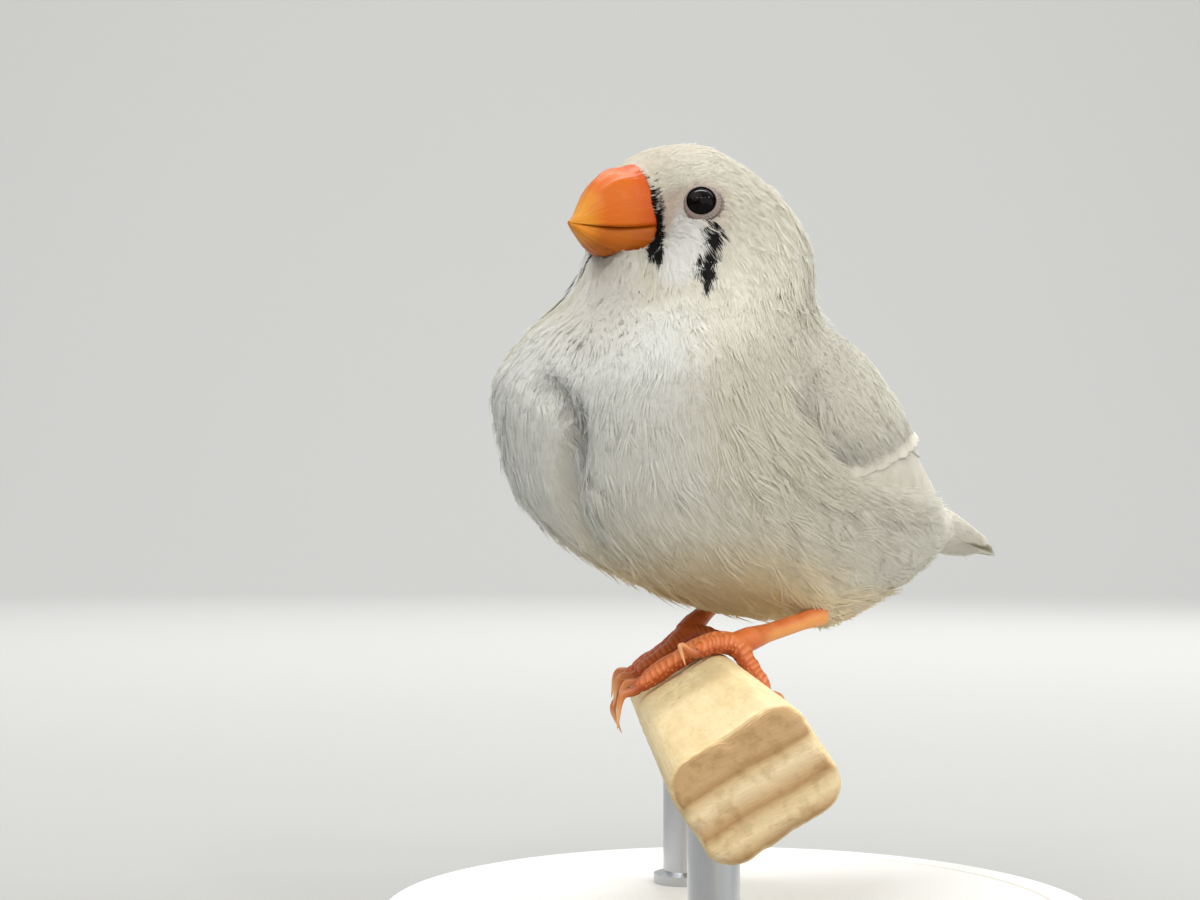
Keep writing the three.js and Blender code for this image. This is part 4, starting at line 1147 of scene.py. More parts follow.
# %% Material of the horn
def bill_horn(name, base, middle, tip):
    material, tree, shader = new_material(name, {
        "Roughness": 0.32, "Specular IOR Level": 0.16, "IOR": 1.54, "Coat Weight": 0.05,
        "Coat Roughness": 0.25, "Subsurface Weight": 0.08, "Subsurface Radius": (0.0012, 0.0005, 0.0002)})
    form = own_map(tree, "form")
    parts = add(tree, "ShaderNodeSeparateXYZ", links={"Vector": form})
    streak = cloud(tree, stretched(tree, form, (34.0, 1.6, 1.0)), 1.0, 4.0, Roughness=0.55, Distortion=0.4)
    shade = scaled(tree, streak, 0.24, parts.outputs["Y"])
    shade = scaled(tree, cloud(tree, own_place(tree), 420.0, 3.0), 0.16, shade)
    horn_tone = ramp(tree, shade, (0.15, base), (0.5, middle), (0.8, middle), (1.2, tip))
    tree.links.new(horn_tone, shader.inputs["Base Color"])
    bump(tree, shader, streak, 0.00025, 0.5)
    return material


upper_horn = bill_horn("grown_orange_horn_upper", "#B84104", "#C66009", "#D48C25")
lower_horn = bill_horn("grown_orange_horn_lower", "#A0480A", "#B25D12", "#DE8C28")
dress(bill_half(True), upper_horn, "bill_horn", "bill_upper")
dress(bill_half(False), lower_horn, "bill_horn", "bill_lower")

# %% [markdown]
# ## Eyes and lids
#
# The eye is a ball of which only a round of 3 mm shows. Its dark brown iris looks black, and its wet cornea
# gives the small bright reflections. The lids meet it in a thin dark margin inside a ring of bare, faintly
# beaded, grey-pink skin. The lid's section is drawn once beside the eye's axis and spun round it.

# %% Eyeballs
EYE_RADIUS, EYE_SUNK = 1.95, 0.95
# how much further the clear cornea stands out than the ball
CORNEA = 0.035


def eye_frame(side):
    angle = EYE_ELEVATION if side > 0 else 180 - EYE_ELEVATION
    surface, out, back, _ = body_frame(EYE_STATION, angle)
    out, back = Vector(out[0]), Vector(back[0])
    return Vector(surface[0]) - out * EYE_SUNK, out, back


wet_eye, tree, shader = new_material("wet_dark_brown_eye", {
    "Roughness": 0.04, "IOR": 1.38, "Specular IOR Level": 0.17})
iris = ramp(tree, cloud(tree, own_place(tree), 1500.0, 2.0), (0.3, "#030202"), (0.8, "#0B0705"))
tree.links.new(iris, shader.inputs["Base Color"])
for side, which in ((1, "left"), (-1, "right")):
    centre, out, _ = eye_frame(side)
    start_clean()
    bpy.ops.mesh.primitive_uv_sphere_add(segments=48, ring_count=32, radius=EYE_RADIUS * MM,
                                         location=centre * MM)
    ball = new_piece(f"eyeball_{which}")
    apply_all(ball)
    spots = points_of(ball) / MM - np.array(centre)
    front = np.clip(spots @ np.array(out) / EYE_RADIUS, 0, 1)
    swell = 1 + CORNEA * smoothstep(front, 0.72, 1.0)
    set_points(ball, (np.array(centre) + spots * swell[:, None]) * MM)
    bpy.ops.object.shade_smooth()
    dress(ball, wet_eye, "eye", f"eye_{which}")

# %% Lids
LID = [(1.66, 0.98), (1.57, 1.16), (1.57, 1.25), (1.62, 1.3), (1.7, 1.28), (1.8, 1.2), (1.86, 1.14),
       (1.94, 1.13), (2.04, 1.02), (2.14, 0.9), (2.28, 0.74), (2.5, 0.3)]
LID_TONES = [(0, "#1A1413"), (0.26, "#2A2120"), (0.36, "#7A6C67"), (0.44, "#9E918B"), (0.5, "#8C7F76"),
             (0.56, "#6E605B"), (0.64, "#90837B"), (0.78, "#7E7069"), (1, "#7E6E67")]


def model_lids(which, side):
    centre, out, back = eye_frame(side)
    down = out.cross(back).normalized()
    down = down if down.z < 0 else -down
    section = smooth_line(np.array(LID), np.linspace(0, len(LID) - 1.001, 34))
    lid, u, v = flat_grid(f"lids_{which}", 140, 26, "UVMap")
    turn = np.where(u > 0.9999, 0.0, u) * 2 * math.pi
    radius, height = (np.interp(v, np.linspace(0, 1, len(section)), section[:, k]) for k in (0, 1))
    ring = smoothstep(radius, 1.62, 1.8) * (1 - smoothstep(radius, 2.0, 2.5))
    height = height + 0.035 * np.sin(turn * 34 + 6 * v) * ring
    radius = radius + smoothstep(radius, 1.6, 2.4) * (-0.1 + 0.3 * np.cos(turn - 0.7))
    spoke = np.outer(np.cos(turn), back) + np.outer(np.sin(turn), down)
    set_points(lid, (np.array(centre) + spoke * radius[:, None] + np.outer(height, out)) * MM)
    stops = np.array([linear(tone)[:3] for _, tone in LID_TONES])
    tones = np.stack([np.interp(v, [place for place, _ in LID_TONES], stops[:, k]) for k in range(3)], 1)
    # painted shade: a dark line in the fold below and behind the eye, and darker skin under the lid's upper
    # front corner
    painted_fold_shade = np.exp(-((v - 0.8) / 0.035) ** 2) * (0.35 + 0.65 * np.cos(u * 2 * math.pi - 1.1)).clip(0, 1)
    painted_brow_shade = smoothstep(v, 0.36, 0.6) * np.cos(u * 2 * math.pi - 3.9).clip(0, 1)
    paint(lid.data, tones * ((1 - 0.7 * painted_fold_shade) * (1 - 0.45 * painted_brow_shade))[:, None])
    close_form(0.002 * MM, fill=False)
    if sum((face.center / MM - centre).dot(face.normal) * face.area for face in lid.data.polygons) < 0:
        lid.data.flip_normals()
    return lid


lid_skin, tree, shader = new_material("bare_beaded_eyelid_skin", {"Roughness": 0.5})
tree.links.new(plumage_socket(tree), shader.inputs["Base Color"])
bump(tree, shader, cells(tree, own_place(tree), 4200.0), 0.00006, 0.8)
for side, which in ((1, "left"), (-1, "right")):
    dress(model_lids(which, side), lid_skin, "plumage_head", f"eye_{which}")

# %% [markdown]
# ## Legs and toes
#
# A perching bird's leg is bare below the ankle: a thin scaled shank, and three toes forward and one back
# that close round the perch. Shank and toes are one skin, so their tubes are joined, melted into one
# surface by a voxel remesh, and only then scaled. Each corner looks up its nearest toe, how far along it lies
# and whether it is on top, which gets broad overlapping scutes, or below, which gets soft beaded pads.

# %% Places by the perch
PERCH_SIDE, PERCH_WIDE, PERCH_DEEP, PERCH_CORNER, PERCH_ROLL = -0.6, 12.2, 9.4, 2.6, math.radians(33)
PERCH_FAR, PERCH_NEAR = -27.0, 69.3
ALONG_PERCH, ACROSS_PERCH = np.array(TOWARDS), np.array(RIGHT)


def on_perch(places):
    across, up, forward = np.atleast_2d(np.asarray(places, float)).T
    return (np.array([0, FEET_Y, PERCH_UP]) + np.outer(across + PERCH_SIDE, ACROSS_PERCH)
            + np.outer(forward, ALONG_PERCH) + np.outer(up, [0, 0, 1]))


def rolled(pairs, angle):
    cosine, sine = math.cos(angle), math.sin(angle)
    return pairs @ np.array([[cosine, sine], [-sine, cosine]])


def over_perch(places, clear):
    """Moves places [across, up, forward] until they lie clear of the perch's surface by this much."""
    places = np.atleast_2d(np.asarray(places, float)).copy()
    turned = rolled(places[:, :2], -PERCH_ROLL)
    inner = np.array([PERCH_WIDE, PERCH_DEEP]) / 2 - PERCH_CORNER
    side = np.sign(turned) * np.maximum(np.abs(turned) - inner, 0)
    far = np.linalg.norm(side, axis=1)
    turned += side / far[:, None] * (np.reshape(clear, (-1,)) + PERCH_CORNER - far)[:, None]
    places[:, :2] = rolled(turned, PERCH_ROLL)
    return places


def spaced(knots, count):
    """Evenly spaced places on the smooth line through the knots."""
    line = smooth_line(np.asarray(knots, float), np.linspace(0, len(knots) - 1, 240))
    run = np.concatenate([[0], np.cumsum(np.linalg.norm(np.diff(line, axis=0), axis=1))])
    where = np.linspace(0, run[-1], count)
    return np.stack([np.interp(where, run, line[:, k]) for k in range(line.shape[1])], 1)


def tube_frame(path):
    """Along the path, away from the perch, and sideways, for each place of the path."""
    ahead = np.gradient(path, axis=0)
    ahead /= np.linalg.norm(ahead, axis=1)[:, None]
    middle = np.array([0, FEET_Y, PERCH_UP]) + PERCH_SIDE * ACROSS_PERCH
    away = path - middle - np.outer((path - middle) @ ALONG_PERCH, ALONG_PERCH)
    away -= ahead * (away * ahead).sum(1)[:, None]
    away /= np.maximum(np.linalg.norm(away, axis=1), 1e-6)[:, None]
    return ahead, away, np.cross(ahead, away)


def tube(name, path, radii, around, along, scale=MM, deep=1.0):
    """A closed tube round a path. radii are (share of its length, radius), deep stretches it off the perch."""
    path = spaced(path, 200)
    _, away, aside = tube_frame(path)

    def place(u, v):
        def at(rows):
            return np.stack([np.interp(v * 199, np.arange(200), rows[:, k]) for k in range(3)], 1)

        radius = np.interp(v, *np.array(radii).T)[:, None]
        turn = u[:, None] * 2 * math.pi
        return at(path) + radius * (np.cos(turn) * deep * at(away) + np.sin(turn) * at(aside))

    return wrapped_form(name, around, along, place, scale)


# %% Where each toe and claw lies, as [across the perch, up, forward]
FEET = {
    "left": dict(ankle=[14.5, 10.4, 1], middle=[4.6, 8.5, 8.3], toes=[
        ([[1.5, 9.2, 9.6], [-1.4, 8.7, 11.2]], [[-2.3, 7.5, 12.0], [-1.8, 5.3, 12.5]]),
        ([[-0.6, 7.4, 7.2], [-4, 5.4, 7.2], [-6.7, 2.9, 7.6]], [[-8.4, 1.8, 7.9], [-9, -1.8, 8.2]]),
        ([[-0.2, 7.5, 4.9], [-3.6, 5.7, 3.2], [-6, 3.6, 2.4]], [[-7.9, 2.6, 2], [-8.8, -0.4, 1.8]]),
        ([[6.4, 6.4, 9.6], [7.9, 3.6, 11.4]], [[8.4, 1.9, 12.2], [7.7, -0.3, 12.6]])]),
    "right": dict(ankle=[7.5, 14.3, -22], middle=[-1, 8.9, -13.2], toes=[
        ([[-4, 6.6, -10.8], [-6.6, 3.9, -9.4]], [[-8.2, 2.6, -8.8], [-9, -0.8, -8.4]]),
        ([[-4.6, 6.9, -13.4], [-7.6, 4, -13.6], [-8.5, 0.9, -13.6]],
         [[-8.9, -1.4, -13.6], [-7.9, -4.4, -13.6]]),
        ([[-4, 6.5, -16], [-6.6, 3.9, -17.6]], [[-8.2, 2.6, -18.2], [-9, -0.6, -18.6]]),
        ([[2, 8.8, -13.4], [5.2, 7.2, -13.6]], [[6.8, 5.9, -13.6], [7.9, 3.4, -13.6]])]),
}
FOOT_RADIUS, TOE_RADIUS, TOE_CLEAR = 1.5, 1.05, 0.12


def toe_path(middle, points):
    line = spaced([middle, *points], 6)
    radius = FOOT_RADIUS + (TOE_RADIUS - FOOT_RADIUS) * np.minimum(np.arange(6) / 2, 1)
    return spaced(on_perch(over_perch(line, radius + TOE_CLEAR)), 60)


def shank_path(foot):
    bottom = on_perch(over_perch(foot["middle"], FOOT_RADIUS + 0.35))[0]
    top = on_perch(foot["ankle"])[0]
    up = (top - bottom) / np.linalg.norm(top - bottom)
    return spaced([bottom, (bottom + top) / 2, top - up * 0.3], 60)


# %% Model each leg and lay its scales
def nearest_on(path, points):
    """How far along the path each point lies, in millimetres, how far from it, and how far up and aside."""
    step = np.linalg.norm(path[1] - path[0])
    away = np.linalg.norm(points[:, None] - path[None], axis=2)
    near = away.argmin(1)
    offset = points - path[near]
    ahead, up, aside = (rows[near] for rows in tube_frame(path))
    along = near * step + (offset * ahead).sum(1)
    return along, away.min(1), (offset * up).sum(1), (offset * aside).sum(1)


TOE_RADII = [(0, 1.35), (0.12, 1.2), (0.22, 1.12), (0.36, 0.98), (0.48, 1.06), (0.62, 0.88), (0.75, 0.98),
             (0.86, 0.86), (0.94, 0.72), (0.98, 0.5), (1, 0.2)]
SHANK_RADII = [(0, 1.3), (0.15, 1.35), (0.35, 1.05), (0.75, 1.0), (1, 1.25)]
VOXEL = 0.12
SHANK_PLATE, TOE_PLATE = 3.1, 0.74
# the far leg stands in the bird's own shade, so its colour is painted darker and redder, a painted shade
FAR_LEG_PAINTED_SHADE = np.array([0.8, 0.68, 0.62])


def plated(along, pitch):
    """The height of overlapping plates along a toe: a round back that ends in a narrow groove."""
    share = (along / pitch) % 1.0
    return (1 - np.abs(2 * share - 1) ** 5) * (0.75 + 0.25 * share)


def leg_form(which, paths):
    """Shank and toes melted into one smooth surface."""
    pieces = [tube(f"shank_{which}_form", paths[0], SHANK_RADII, 24, 40, 1.0)]
    for number, path in enumerate(paths[1:]):
        end = path[-1] + (path[-1] - path[-2]) / np.linalg.norm(path[-1] - path[-2]) * 0.45
        pieces.append(tube(f"toe_{which}_{number}_form", np.vstack([path, end]), TOE_RADII, 24, 48, 1.0))
    leg = join_pieces(f"leg_{which}", pieces)
    leg.data.remesh_voxel_size = VOXEL
    bpy.ops.object.voxel_remesh()
    smoother = leg.modifiers.new("soften", "SMOOTH")
    smoother.factor, smoother.iterations = 0.6, 5
    apply_all(leg)
    return leg


def model_leg(which):
    foot = FEET[which]
    paths = [shank_path(foot)] + [toe_path(foot["middle"], points) for points, _ in foot["toes"]]
    leg = leg_form(which, paths)
    points, normals = points_of(leg), read(leg.data.vertices, "normal", 3)
    looked = np.array([nearest_on(path, points) for path in paths])
    girth = np.array([1.25] + [1.05] * len(foot["toes"]))
    reach = looked[:, 1] / girth[:, None]
    owner = reach.argmin(0)
    along, _, up, aside = looked[owner, :, np.arange(len(points))].T
    around = np.arctan2(aside, up)
    is_shank = owner == 0
    # plates fade out where two toes meet, and lie only in front and above
    nearest, second = np.sort(reach, axis=0)[:2]
    apart = smoothstep(second - nearest, 0.02, 0.35)
    front = np.where(is_shank, 0.5 + 0.5 * np.cos(around * 0.9), smoothstep(np.cos(around), -0.25, 0.35))
    slanted = along + 0.22 * np.cos(around * 2) + owner * 0.37
    slanted = slanted + 0.34 * wander(points, 1.2, 23) + 0.15 * wander(points, 0.45, 24)
    plates = plated(slanted, np.where(is_shank, SHANK_PLATE, TOE_PLATE))
    broad = np.where(is_shank, 0.35, 1.0)
    beads = np.array([noise.voronoi(Vector(spot * 2.6))[0][0] for spot in points])
    under = (1 - front) * np.where(is_shank, 0.25, 1.0)
    shown = front * (0.35 + 0.65 * apart)
    height = 0.065 * (plates - 0.8) * shown * broad + 0.13 * (0.32 - beads) * under
    height += 0.08 * wander(points, 1.3, 21) * broad + 0.04 * (0.3 - beads) * front * broad
    set_points(leg, (points + normals * height[:, None]) * MM)
    groove = (1 - smoothstep(plates, 0.25, 0.85)) * shown
    flakes = 0.75 * (1 - smoothstep(beads, 0.05, 0.16)) * smoothstep(plates, 0.4, 0.9)
    # painted light: the shank's side that faces forward and down is painted paler yellow-orange, as where
    # light falls
    outer = smoothstep(normals @ (np.array(TOWARDS) - [0, 0, 0.9]), 0.1, 1.0) * is_shank
    tone = np.array(linear("#DC7A3C")[:3])[None]
    # each plate's raised back on top is painted paler, a painted highlight, and its groove darker, a painted
    # shade
    for over, share in [("#EDB088", 0.75 * smoothstep(plates, 0.8, 1.0) * front * broad),
                        ("#C4642F", np.clip(0.45 + 0.7 * wander(points, 2.0, 31), 0, 1) * 0.65),
                        ("#A04A24", 0.5 * groove * broad),
                        ("#F3D0B0", flakes * np.where(is_shank, 0.15, 1.0)),
                        ("#F0AC60", 0.75 * outer * smoothstep(along, 2.0, 5.0)),
                        ("#E6A880", 0.5 * under * (1 - smoothstep(beads, 0.1, 0.25))),
                        ("#983F20", 0.7 * under * smoothstep(beads, 0.25, 0.5))]:
        tone = mixed(tone, np.array(linear(over)[:3]), share)
    paint(leg.data, tone * (1.0 if which == "left" else FAR_LEG_PAINTED_SHADE))
    bpy.ops.object.shade_smooth()
    return leg


# %% [markdown]
# Scutes are thin clear horn over pink, blood-filled skin, so they look orange-pink, waxy where they are
# smooth. Each plate's raised back is painted paler, a painted highlight, and the grooves are painted darker,
# a painted shade. A little subsurface light carries the pink.

# %% Material of the legs
leg_skin, tree, shader = new_material("scaled_orange_pink_leg_skin", {
    "Roughness": 0.42, "Specular IOR Level": 0.28, "Subsurface Weight": 0.1,
    "Subsurface Radius": (0.0009, 0.0003, 0.0002), "Coat Weight": 0.06, "Coat Roughness": 0.3})
tree.links.new(plumage_socket(tree), shader.inputs["Base Color"])
bump(tree, shader, cloud(tree, own_place(tree), 5200.0, 3.0), 0.00004, 0.6)
for which in FEET:
    dress(model_leg(which), leg_skin, "leg_skin", f"shank_{which}", f"foot_{which}")

# %% [markdown]
# ## Claws
#
# A claw is a curved cone of horn, deeper than it is wide, that leaves the toe's end under a fold of skin.
# It is nearly clear: pale with a pink core at its root, where the blood ends, and an ivory tip.

# %% Model the eight claws
claw_horn, tree, shader = new_material("clear_pale_claw_horn", {
    "Roughness": 0.3, "Subsurface Weight": 0.35, "Subsurface Radius": (0.001, 0.0006, 0.0004)})
form = own_map(tree, "form")
parts = add(tree, "ShaderNodeSeparateXYZ", links={"Vector": form})
horn_tone = ramp(tree, parts.outputs["Y"], (0.12, "#A95024"), (0.45, "#D08550"), (0.8, "#E8B685"),
                 (1.0, "#E0AE7C"))
tree.links.new(horn_tone, shader.inputs["Base Color"])
bump(tree, shader, cloud(tree, stretched(tree, form, (14.0, 2.0, 1.0)), 1.0, 3.0), 0.00008, 0.5)
CLAW_RADII = [(0, 0.4), (0.1, 0.46), (0.3, 0.38), (0.6, 0.24), (0.85, 0.12), (0.96, 0.06), (1, 0.02)]
for which, foot in FEET.items():
    for number, (points, bend) in enumerate(foot["toes"], 1):
        path = toe_path(foot["middle"], points)
        ahead = (path[-1] - path[-4]) / np.linalg.norm(path[-1] - path[-4])
        turn, tip = on_perch(bend)
        knots = [path[-1] - ahead * 0.15, path[-1] + ahead * 0.75, turn, tip]
        claw = tube(f"claw_{which}_{number}_horn", knots, CLAW_RADII, 20, 40, MM, 1.25)
        dress(claw, claw_horn, "claw_horn", f"claw_{which}_{number}")

# %% [markdown]
# ## The perch
#
# The perch is a cut length of a plain pine bar with rounded corners. It starts as the same wrapped grid: the
# side's rows run along it and the last rows close over each sawn end. Years of toes and bills have worn it,
# so its near end's rim is rounded unevenly, small pits are picked out where the bird sits, and its edge by
# the toes is chewed.

# %% Model the perch
def rounded_bar(turn):
    """A place on the rounded rectangle's outline, this share of the way round it."""
    inner = np.array([PERCH_WIDE, PERCH_DEEP]) / 2 - PERCH_CORNER
    quarter_arc = PERCH_CORNER * math.pi / 2
    sides = np.array([2 * inner[1], quarter_arc, 2 * inner[0], quarter_arc] * 2)
    ends = np.concatenate([[0], np.cumsum(sides)])
    run = (turn % 1.0) * ends[-1]
    which = np.clip(np.searchsorted(ends, run, side="right") - 1, 0, 7)
    share = (run - ends[which]) / sides[which]
    quarter = which // 2
    middles = inner * np.array([[1, 1], [-1, 1], [-1, -1], [1, -1]])
    angle = (quarter + np.where(which % 2, share, 0)) * math.pi / 2
    out = PERCH_CORNER * np.stack([np.cos(angle), np.sin(angle)], 1)
    spot, before = middles[quarter] + out, middles[(quarter + 3) % 4] + out
    straight = before + (spot - before) * share[:, None]
    return np.where((which % 2)[:, None], spot, straight)


def lumps(points, scale):
    """Soft random lumps from about -1 to 1, of this size in millimetres."""
    return np.array([noise.fractal(Vector(spot / scale), 0.8, 2.0, 3) for spot in points])


# the bar from one sawn end to the other: the share of v, how far it is drawn in, and its place along the bar
ROUND = 0.9
PROFILE = np.array([
    (0.05, ROUND, PERCH_FAR), (0.075, 0.27, PERCH_FAR + 0.27), (0.1, 0, PERCH_FAR + ROUND), (0.2, 0, 2),
    (0.62, 0, 34), (0.88, 0, PERCH_NEAR - ROUND), (0.9, 0.1, PERCH_NEAR - 0.5),
    (0.915, 0.27, PERCH_NEAR - 0.27), (0.93, 0.5, PERCH_NEAR - 0.1), (0.945, ROUND, PERCH_NEAR)])
# the upper corner, as a share of the way round, where the toes hang over the bar
TOE_EDGE = 0.3


def place_on_bar(u, v):
    drawn, forward = (np.interp(v, PROFILE[:, 0], PROFILE[:, k]) for k in (1, 2))
    outline = rounded_bar(u)
    size = np.maximum(np.linalg.norm(outline, axis=1), 1e-6)
    middle_share = np.interp(v, [0, PROFILE[0, 0], PROFILE[-1, 0], 1.0], [1.0, 0.0, 0.0, 1.0])
    # the rim is worn unevenly, and the bar's edges more so close to a sawn end
    side = np.column_stack([outline, forward])
    near = np.where(forward > 20, PERCH_NEAR - forward, forward - PERCH_FAR)
    inward = drawn * (0.6 + 0.9 * np.clip(lumps(side, 3.0) + 0.25, 0, 1.2))
    inward = inward + 0.22 * np.exp(-near / 2.2) * np.clip(lumps(side + 7, 2.2) + 0.2, 0, 1)
    flat = outline * ((1 - np.clip(inward, 0, 2) / size) * (1 - middle_share))[:, None]
    # small pits and soft lumps lie where the bird sits, and chewed places by its toes
    here = np.column_stack([flat, forward])
    on_side = (1 - middle_share) * (drawn < 0.05)
    by_toes = np.exp(-(((u - TOE_EDGE + 0.5) % 1.0 - 0.5) / 0.06) ** 2)
    pits = np.array([noise.voronoi(Vector(spot * [1.0, 1.0, 0.85]))[0][0] for spot in here])
    patchy = smoothstep(lumps(here + 40, 5.0), -0.1, 0.4)
    busy = np.exp(-((forward - 15) / 16) ** 2) + 0.25
    hollow = 0.34 * (1 - smoothstep(pits, 0.05, 0.3)) * patchy * busy + 0.07 * lumps(here, 1.3) * busy
    chewed = by_toes * np.exp(-((forward - 19) / 10) ** 2) * smoothstep(lumps(here + 9, 0.9), -0.15, 0.35)
    hollow = (hollow + 0.4 * chewed) * on_side
    flat = flat * (1 - np.clip(hollow, -0.2, 0.7) / size)[:, None]
    # the sawn ends are a little uneven
    uneven = 0.05 * np.clip(lumps(here * 0.8 + 3, 2.0), -1, 1) * (middle_share > 0)
    return on_perch(np.column_stack([rolled(flat, PERCH_ROLL), forward - np.sign(v - 0.5) * uneven]))


perch = wrapped_form("perch_bar", 150, 310, place_on_bar)

# %% [markdown]
# Pine is pale cream early wood with fine darker late wood. Along the bar it shows as long soft streaks. The
# sawn end cuts across the rings, and its open pores have drawn dirt in, so it is brown with paler bands.
# Both come from one set of planes through the wood, which the ends meet squarely and the sides graze.

# %% Material of the perch
pine, tree, shader = new_material("bare_worn_pine", {
    "Roughness": 0.62, "Subsurface Weight": 0.08, "Subsurface Radius": (0.001, 0.0007, 0.0004),
    "Specular IOR Level": 0.35})


def along_axis(vector, axis):
    node = add(tree, "ShaderNodeVectorMath", {1: tuple(axis)}, {0: vector}, operation="DOT_PRODUCT")
    return node.outputs["Value"]


def square_to_bar(degrees):
    """A way square to the bar, turned up from its right side."""
    turn = math.radians(degrees)
    return math.cos(turn) * ACROSS_PERCH + np.array([0, 0, math.sin(turn)])


def in_wood(*factors):
    """The place in the wood: across its bands, along them, and along the bar, each by its own factor."""
    axes = (across_bands, along_bands, forward)
    sockets = [scaled(tree, axis, factor) for axis, factor in zip(axes, factors)]
    return add(tree, "ShaderNodeCombineXYZ", links=dict(zip("XYZ", sockets))).outputs["Vector"]


BAND_TURN = 121
spot = own_place(tree)
middle_of_bar = on_perch([0, 0, 0])[0] @ square_to_bar(BAND_TURN)
across_bands = along_axis(spot, square_to_bar(BAND_TURN))
along_bands = along_axis(spot, square_to_bar(BAND_TURN - 90))
forward = along_axis(spot, ALONG_PERCH)
wood = in_wood(1000.0, 160.0, 22.0)
grain = cloud(tree, wood, 1.0, 4.0, Roughness=0.55)
fibres = cloud(tree, wood, 6.0, 3.0, Roughness=0.6)
speckle = cloud(tree, spot, 900.0, 3.0)
side_tone = ramp(tree, scaled(tree, grain, 0.5, scaled(tree, fibres, 0.4)),
                 (0.3, "#D0B683"), (0.45, "#DEC898"), (0.6, "#E6D4AC"))
dirt = ramp(tree, cells(tree, spot, 1000.0), (0.0, "#7E6A48"), (0.1, "#CDB887"), (0.17, "#FFFFFF"))
side_tone = tinted(tree, side_tone, dirt, 0.6)
# the rings as bands: millimetres above the bar's middle, and the tone there, from plain brown wood above
RINGS = [(-5.0, "#A68256"), (-4.2, "#B28F63"), (-3.0, "#DCC89F"), (-2.2, "#D0B98E"), (-1.5, "#AB875C"),
         (-1.1, "#BB9B6F"), (0.3, "#E1CEA8"), (1.1, "#C9B084"), (1.5, "#A68357"), (2.1, "#BA9A6F"),
         (3.8, "#B8986C"), (5.2, "#AE8C60")]
# ten millimetres across the bands are the ramp's whole width, and the noise's middle shifts them by nothing
wave = scaled(tree, cloud(tree, in_wood(130.0, 150.0, 30.0), 1.0, 2.0), 0.09, 0.455 - middle_of_bar * 0.1)
end_tone = ramp(tree, scaled(tree, across_bands, 100.0, wave),
                *[(0.5 + place / 10, tone) for place, tone in RINGS])
end_tone = tinted(tree, end_tone, ramp(tree, speckle, (0.35, "#D8CDBB"), (0.5, "#FFFFFF")), 0.5)
normal = add(tree, "ShaderNodeNewGeometry").outputs["Normal"]
sawn = add(tree, "ShaderNodeMath", links={0: along_axis(normal, ALONG_PERCH)}, operation="ABSOLUTE")
ragged = scaled(tree, speckle, 0.5, sawn.outputs["Value"])
edge = add(tree, "ShaderNodeMapRange", {"From Min": 0.75, "From Max": 1.1}, {"Value": ragged}, clamp=True)
both = add(tree, "ShaderNodeMix", links={"Factor": edge.outputs["Result"], 6: side_tone, 7: end_tone},
           data_type="RGBA")
tree.links.new(both.outputs[2], shader.inputs["Base Color"])
bump(tree, shader, fibres, 0.00012, 0.5)
dress(perch, pine, "perch_pine", "perch")

# %% [markdown]
# ## The display stand
#
# The stand isn't part of the bird's life, so it stays quiet: a turned wooden disc under white satin lacquer
# and two thin steel rods. The disc is a cylinder whose rim is bevelled round and whose top has one fine
# turned groove, and each rod has a small collar where it enters the disc.

# %% Model the base
BASE_RADIUS, BASE_THICK, ROD_RADIUS = 41.0, 6.0, 2.6
# the turned groove lies this far inside the rim, and is this wide on each side and this deep
GROOVE_INSIDE, GROOVE_HALF = 4.2, 0.35
RIM_BEVEL, SMOOTH_UNDER = 1.1, math.radians(35)
start_clean()
bpy.ops.mesh.primitive_cylinder_add(vertices=160, radius=BASE_RADIUS * MM, depth=BASE_THICK * MM,
                                    location=(0, 0, BASE_THICK / 2 * MM))
base = new_piece("stand_disc")
apply_all(base)
bpy.ops.object.mode_set(mode="EDIT")
bpy.ops.mesh.select_mode(type="FACE")
mesh = bmesh.from_edit_mesh(base.data)
for face in mesh.faces:
    face.select = face.normal.z > 0.9
mesh.select_flush_mode()
bmesh.update_edit_mesh(base.data)
for inset in (GROOVE_INSIDE, GROOVE_HALF, GROOVE_HALF):
    bpy.ops.mesh.inset(thickness=inset * MM)
bpy.ops.object.mode_set(mode="OBJECT")
spots = points_of(base)
from_groove = np.hypot(spots[:, 0], spots[:, 1]) / MM - (BASE_RADIUS - GROOVE_INSIDE - GROOVE_HALF)
groove = (np.abs(from_groove) < 0.1) & (spots[:, 2] > BASE_THICK * 0.9 * MM)
spots[groove, 2] -= GROOVE_HALF * MM
set_points(base, spots)
bpy.ops.object.mode_set(mode="EDIT")
bpy.ops.mesh.select_mode(type="EDGE")
bpy.ops.mesh.select_all(action="DESELECT")
mesh = bmesh.from_edit_mesh(base.data)
for edge in mesh.edges:
    rims = [vertex.co.xy.length > (BASE_RADIUS - 0.1) * MM for vertex in edge.verts]
    edge.select = all(rims) and abs(edge.verts[0].co.z - edge.verts[1].co.z) < 1e-5
bmesh.update_edit_mesh(base.data)
bpy.ops.mesh.bevel(offset=RIM_BEVEL * MM, segments=6, profile=0.6)
bpy.ops.object.mode_set(mode="OBJECT")
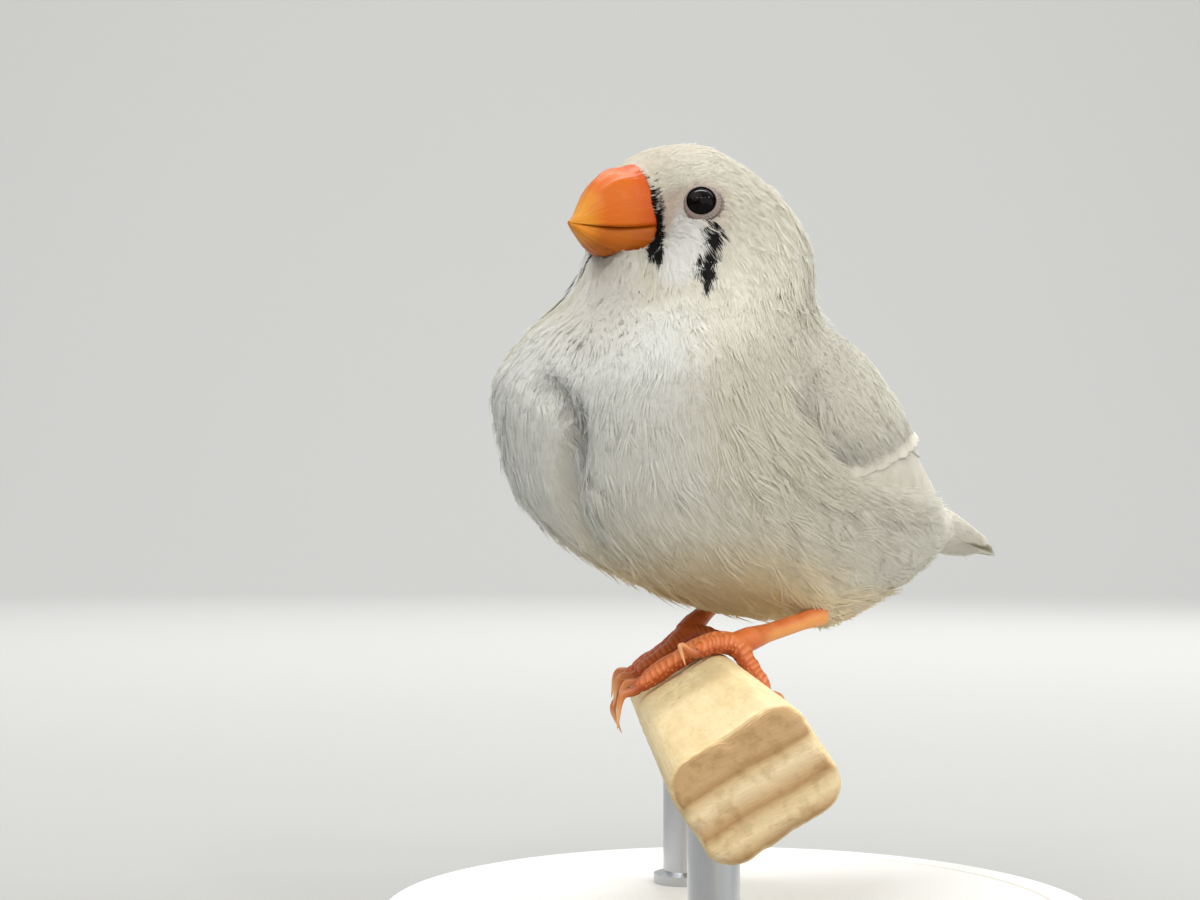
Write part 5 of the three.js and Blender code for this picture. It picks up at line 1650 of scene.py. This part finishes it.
bpy.ops.object.shade_smooth_by_angle(angle=SMOOTH_UNDER)

# %% Model the rods
COLLAR_HIGH, COLLAR_WIDER = 1.3, 1.45


def model_rod(which, forward):
    foot = on_perch([0, 0, forward])[0]
    bottom, top = BASE_THICK - 0.2, foot[2] - 1.0
    start_clean()
    bpy.ops.mesh.primitive_cylinder_add(vertices=64, radius=ROD_RADIUS * MM, depth=(top - bottom) * MM,
                                        location=(foot[0] * MM, foot[1] * MM, (top + bottom) / 2 * MM))
    rod = new_piece(f"stand_rod_{which}_steel")
    apply_all(rod)
    edit_whole()
    for cut in (COLLAR_HIGH - 0.2, COLLAR_HIGH + 0.2):
        bpy.ops.mesh.select_all(action="SELECT")
        bpy.ops.mesh.bisect(plane_co=(0, 0, (BASE_THICK + cut) * MM), plane_no=(0, 0, 1))
    bpy.ops.object.mode_set(mode="OBJECT")
    spots = points_of(rod)
    offset = spots[:, :2] - foot[:2] * MM
    collar = spots[:, 2] < (BASE_THICK + COLLAR_HIGH) * MM
    spots[collar, :2] = foot[:2] * MM + offset[collar] * COLLAR_WIDER
    set_points(rod, spots)
    bpy.ops.object.shade_smooth_by_angle(angle=SMOOTH_UNDER)
    return rod


# %% [markdown]
# Satin lacquer evens the wood out, so the disc is white and calm with a soft wide highlight. The rods are
# drawn steel: fine scratches run round them and stretch their reflections.

# %% Materials of the stand
lacquer, tree, shader = new_material("white_satin_lacquer", {
    "Roughness": 0.38, "Base Color": linear("#E4E3DF")})
bump(tree, shader, cloud(tree, own_place(tree), 700.0, 2.0), 0.00003, 0.4)
steel, tree, shader = new_material("drawn_steel_rod", {
    "Roughness": 0.3, "Metallic": 1.0, "Base Color": linear("#C3C5C8")})
scratches = stretched(tree, own_place(tree), (120.0, 120.0, 9000.0))
bump(tree, shader, cloud(tree, scratches, 1.0, 2.0), 0.00002, 0.5)
dress(base, lacquer, "stand_paint", "stand_base")
for which, forward in (("front", 27.0), ("back", -19.0)):
    dress(model_rod(which, forward), steel, "stand_steel", f"stand_rod_{which}")
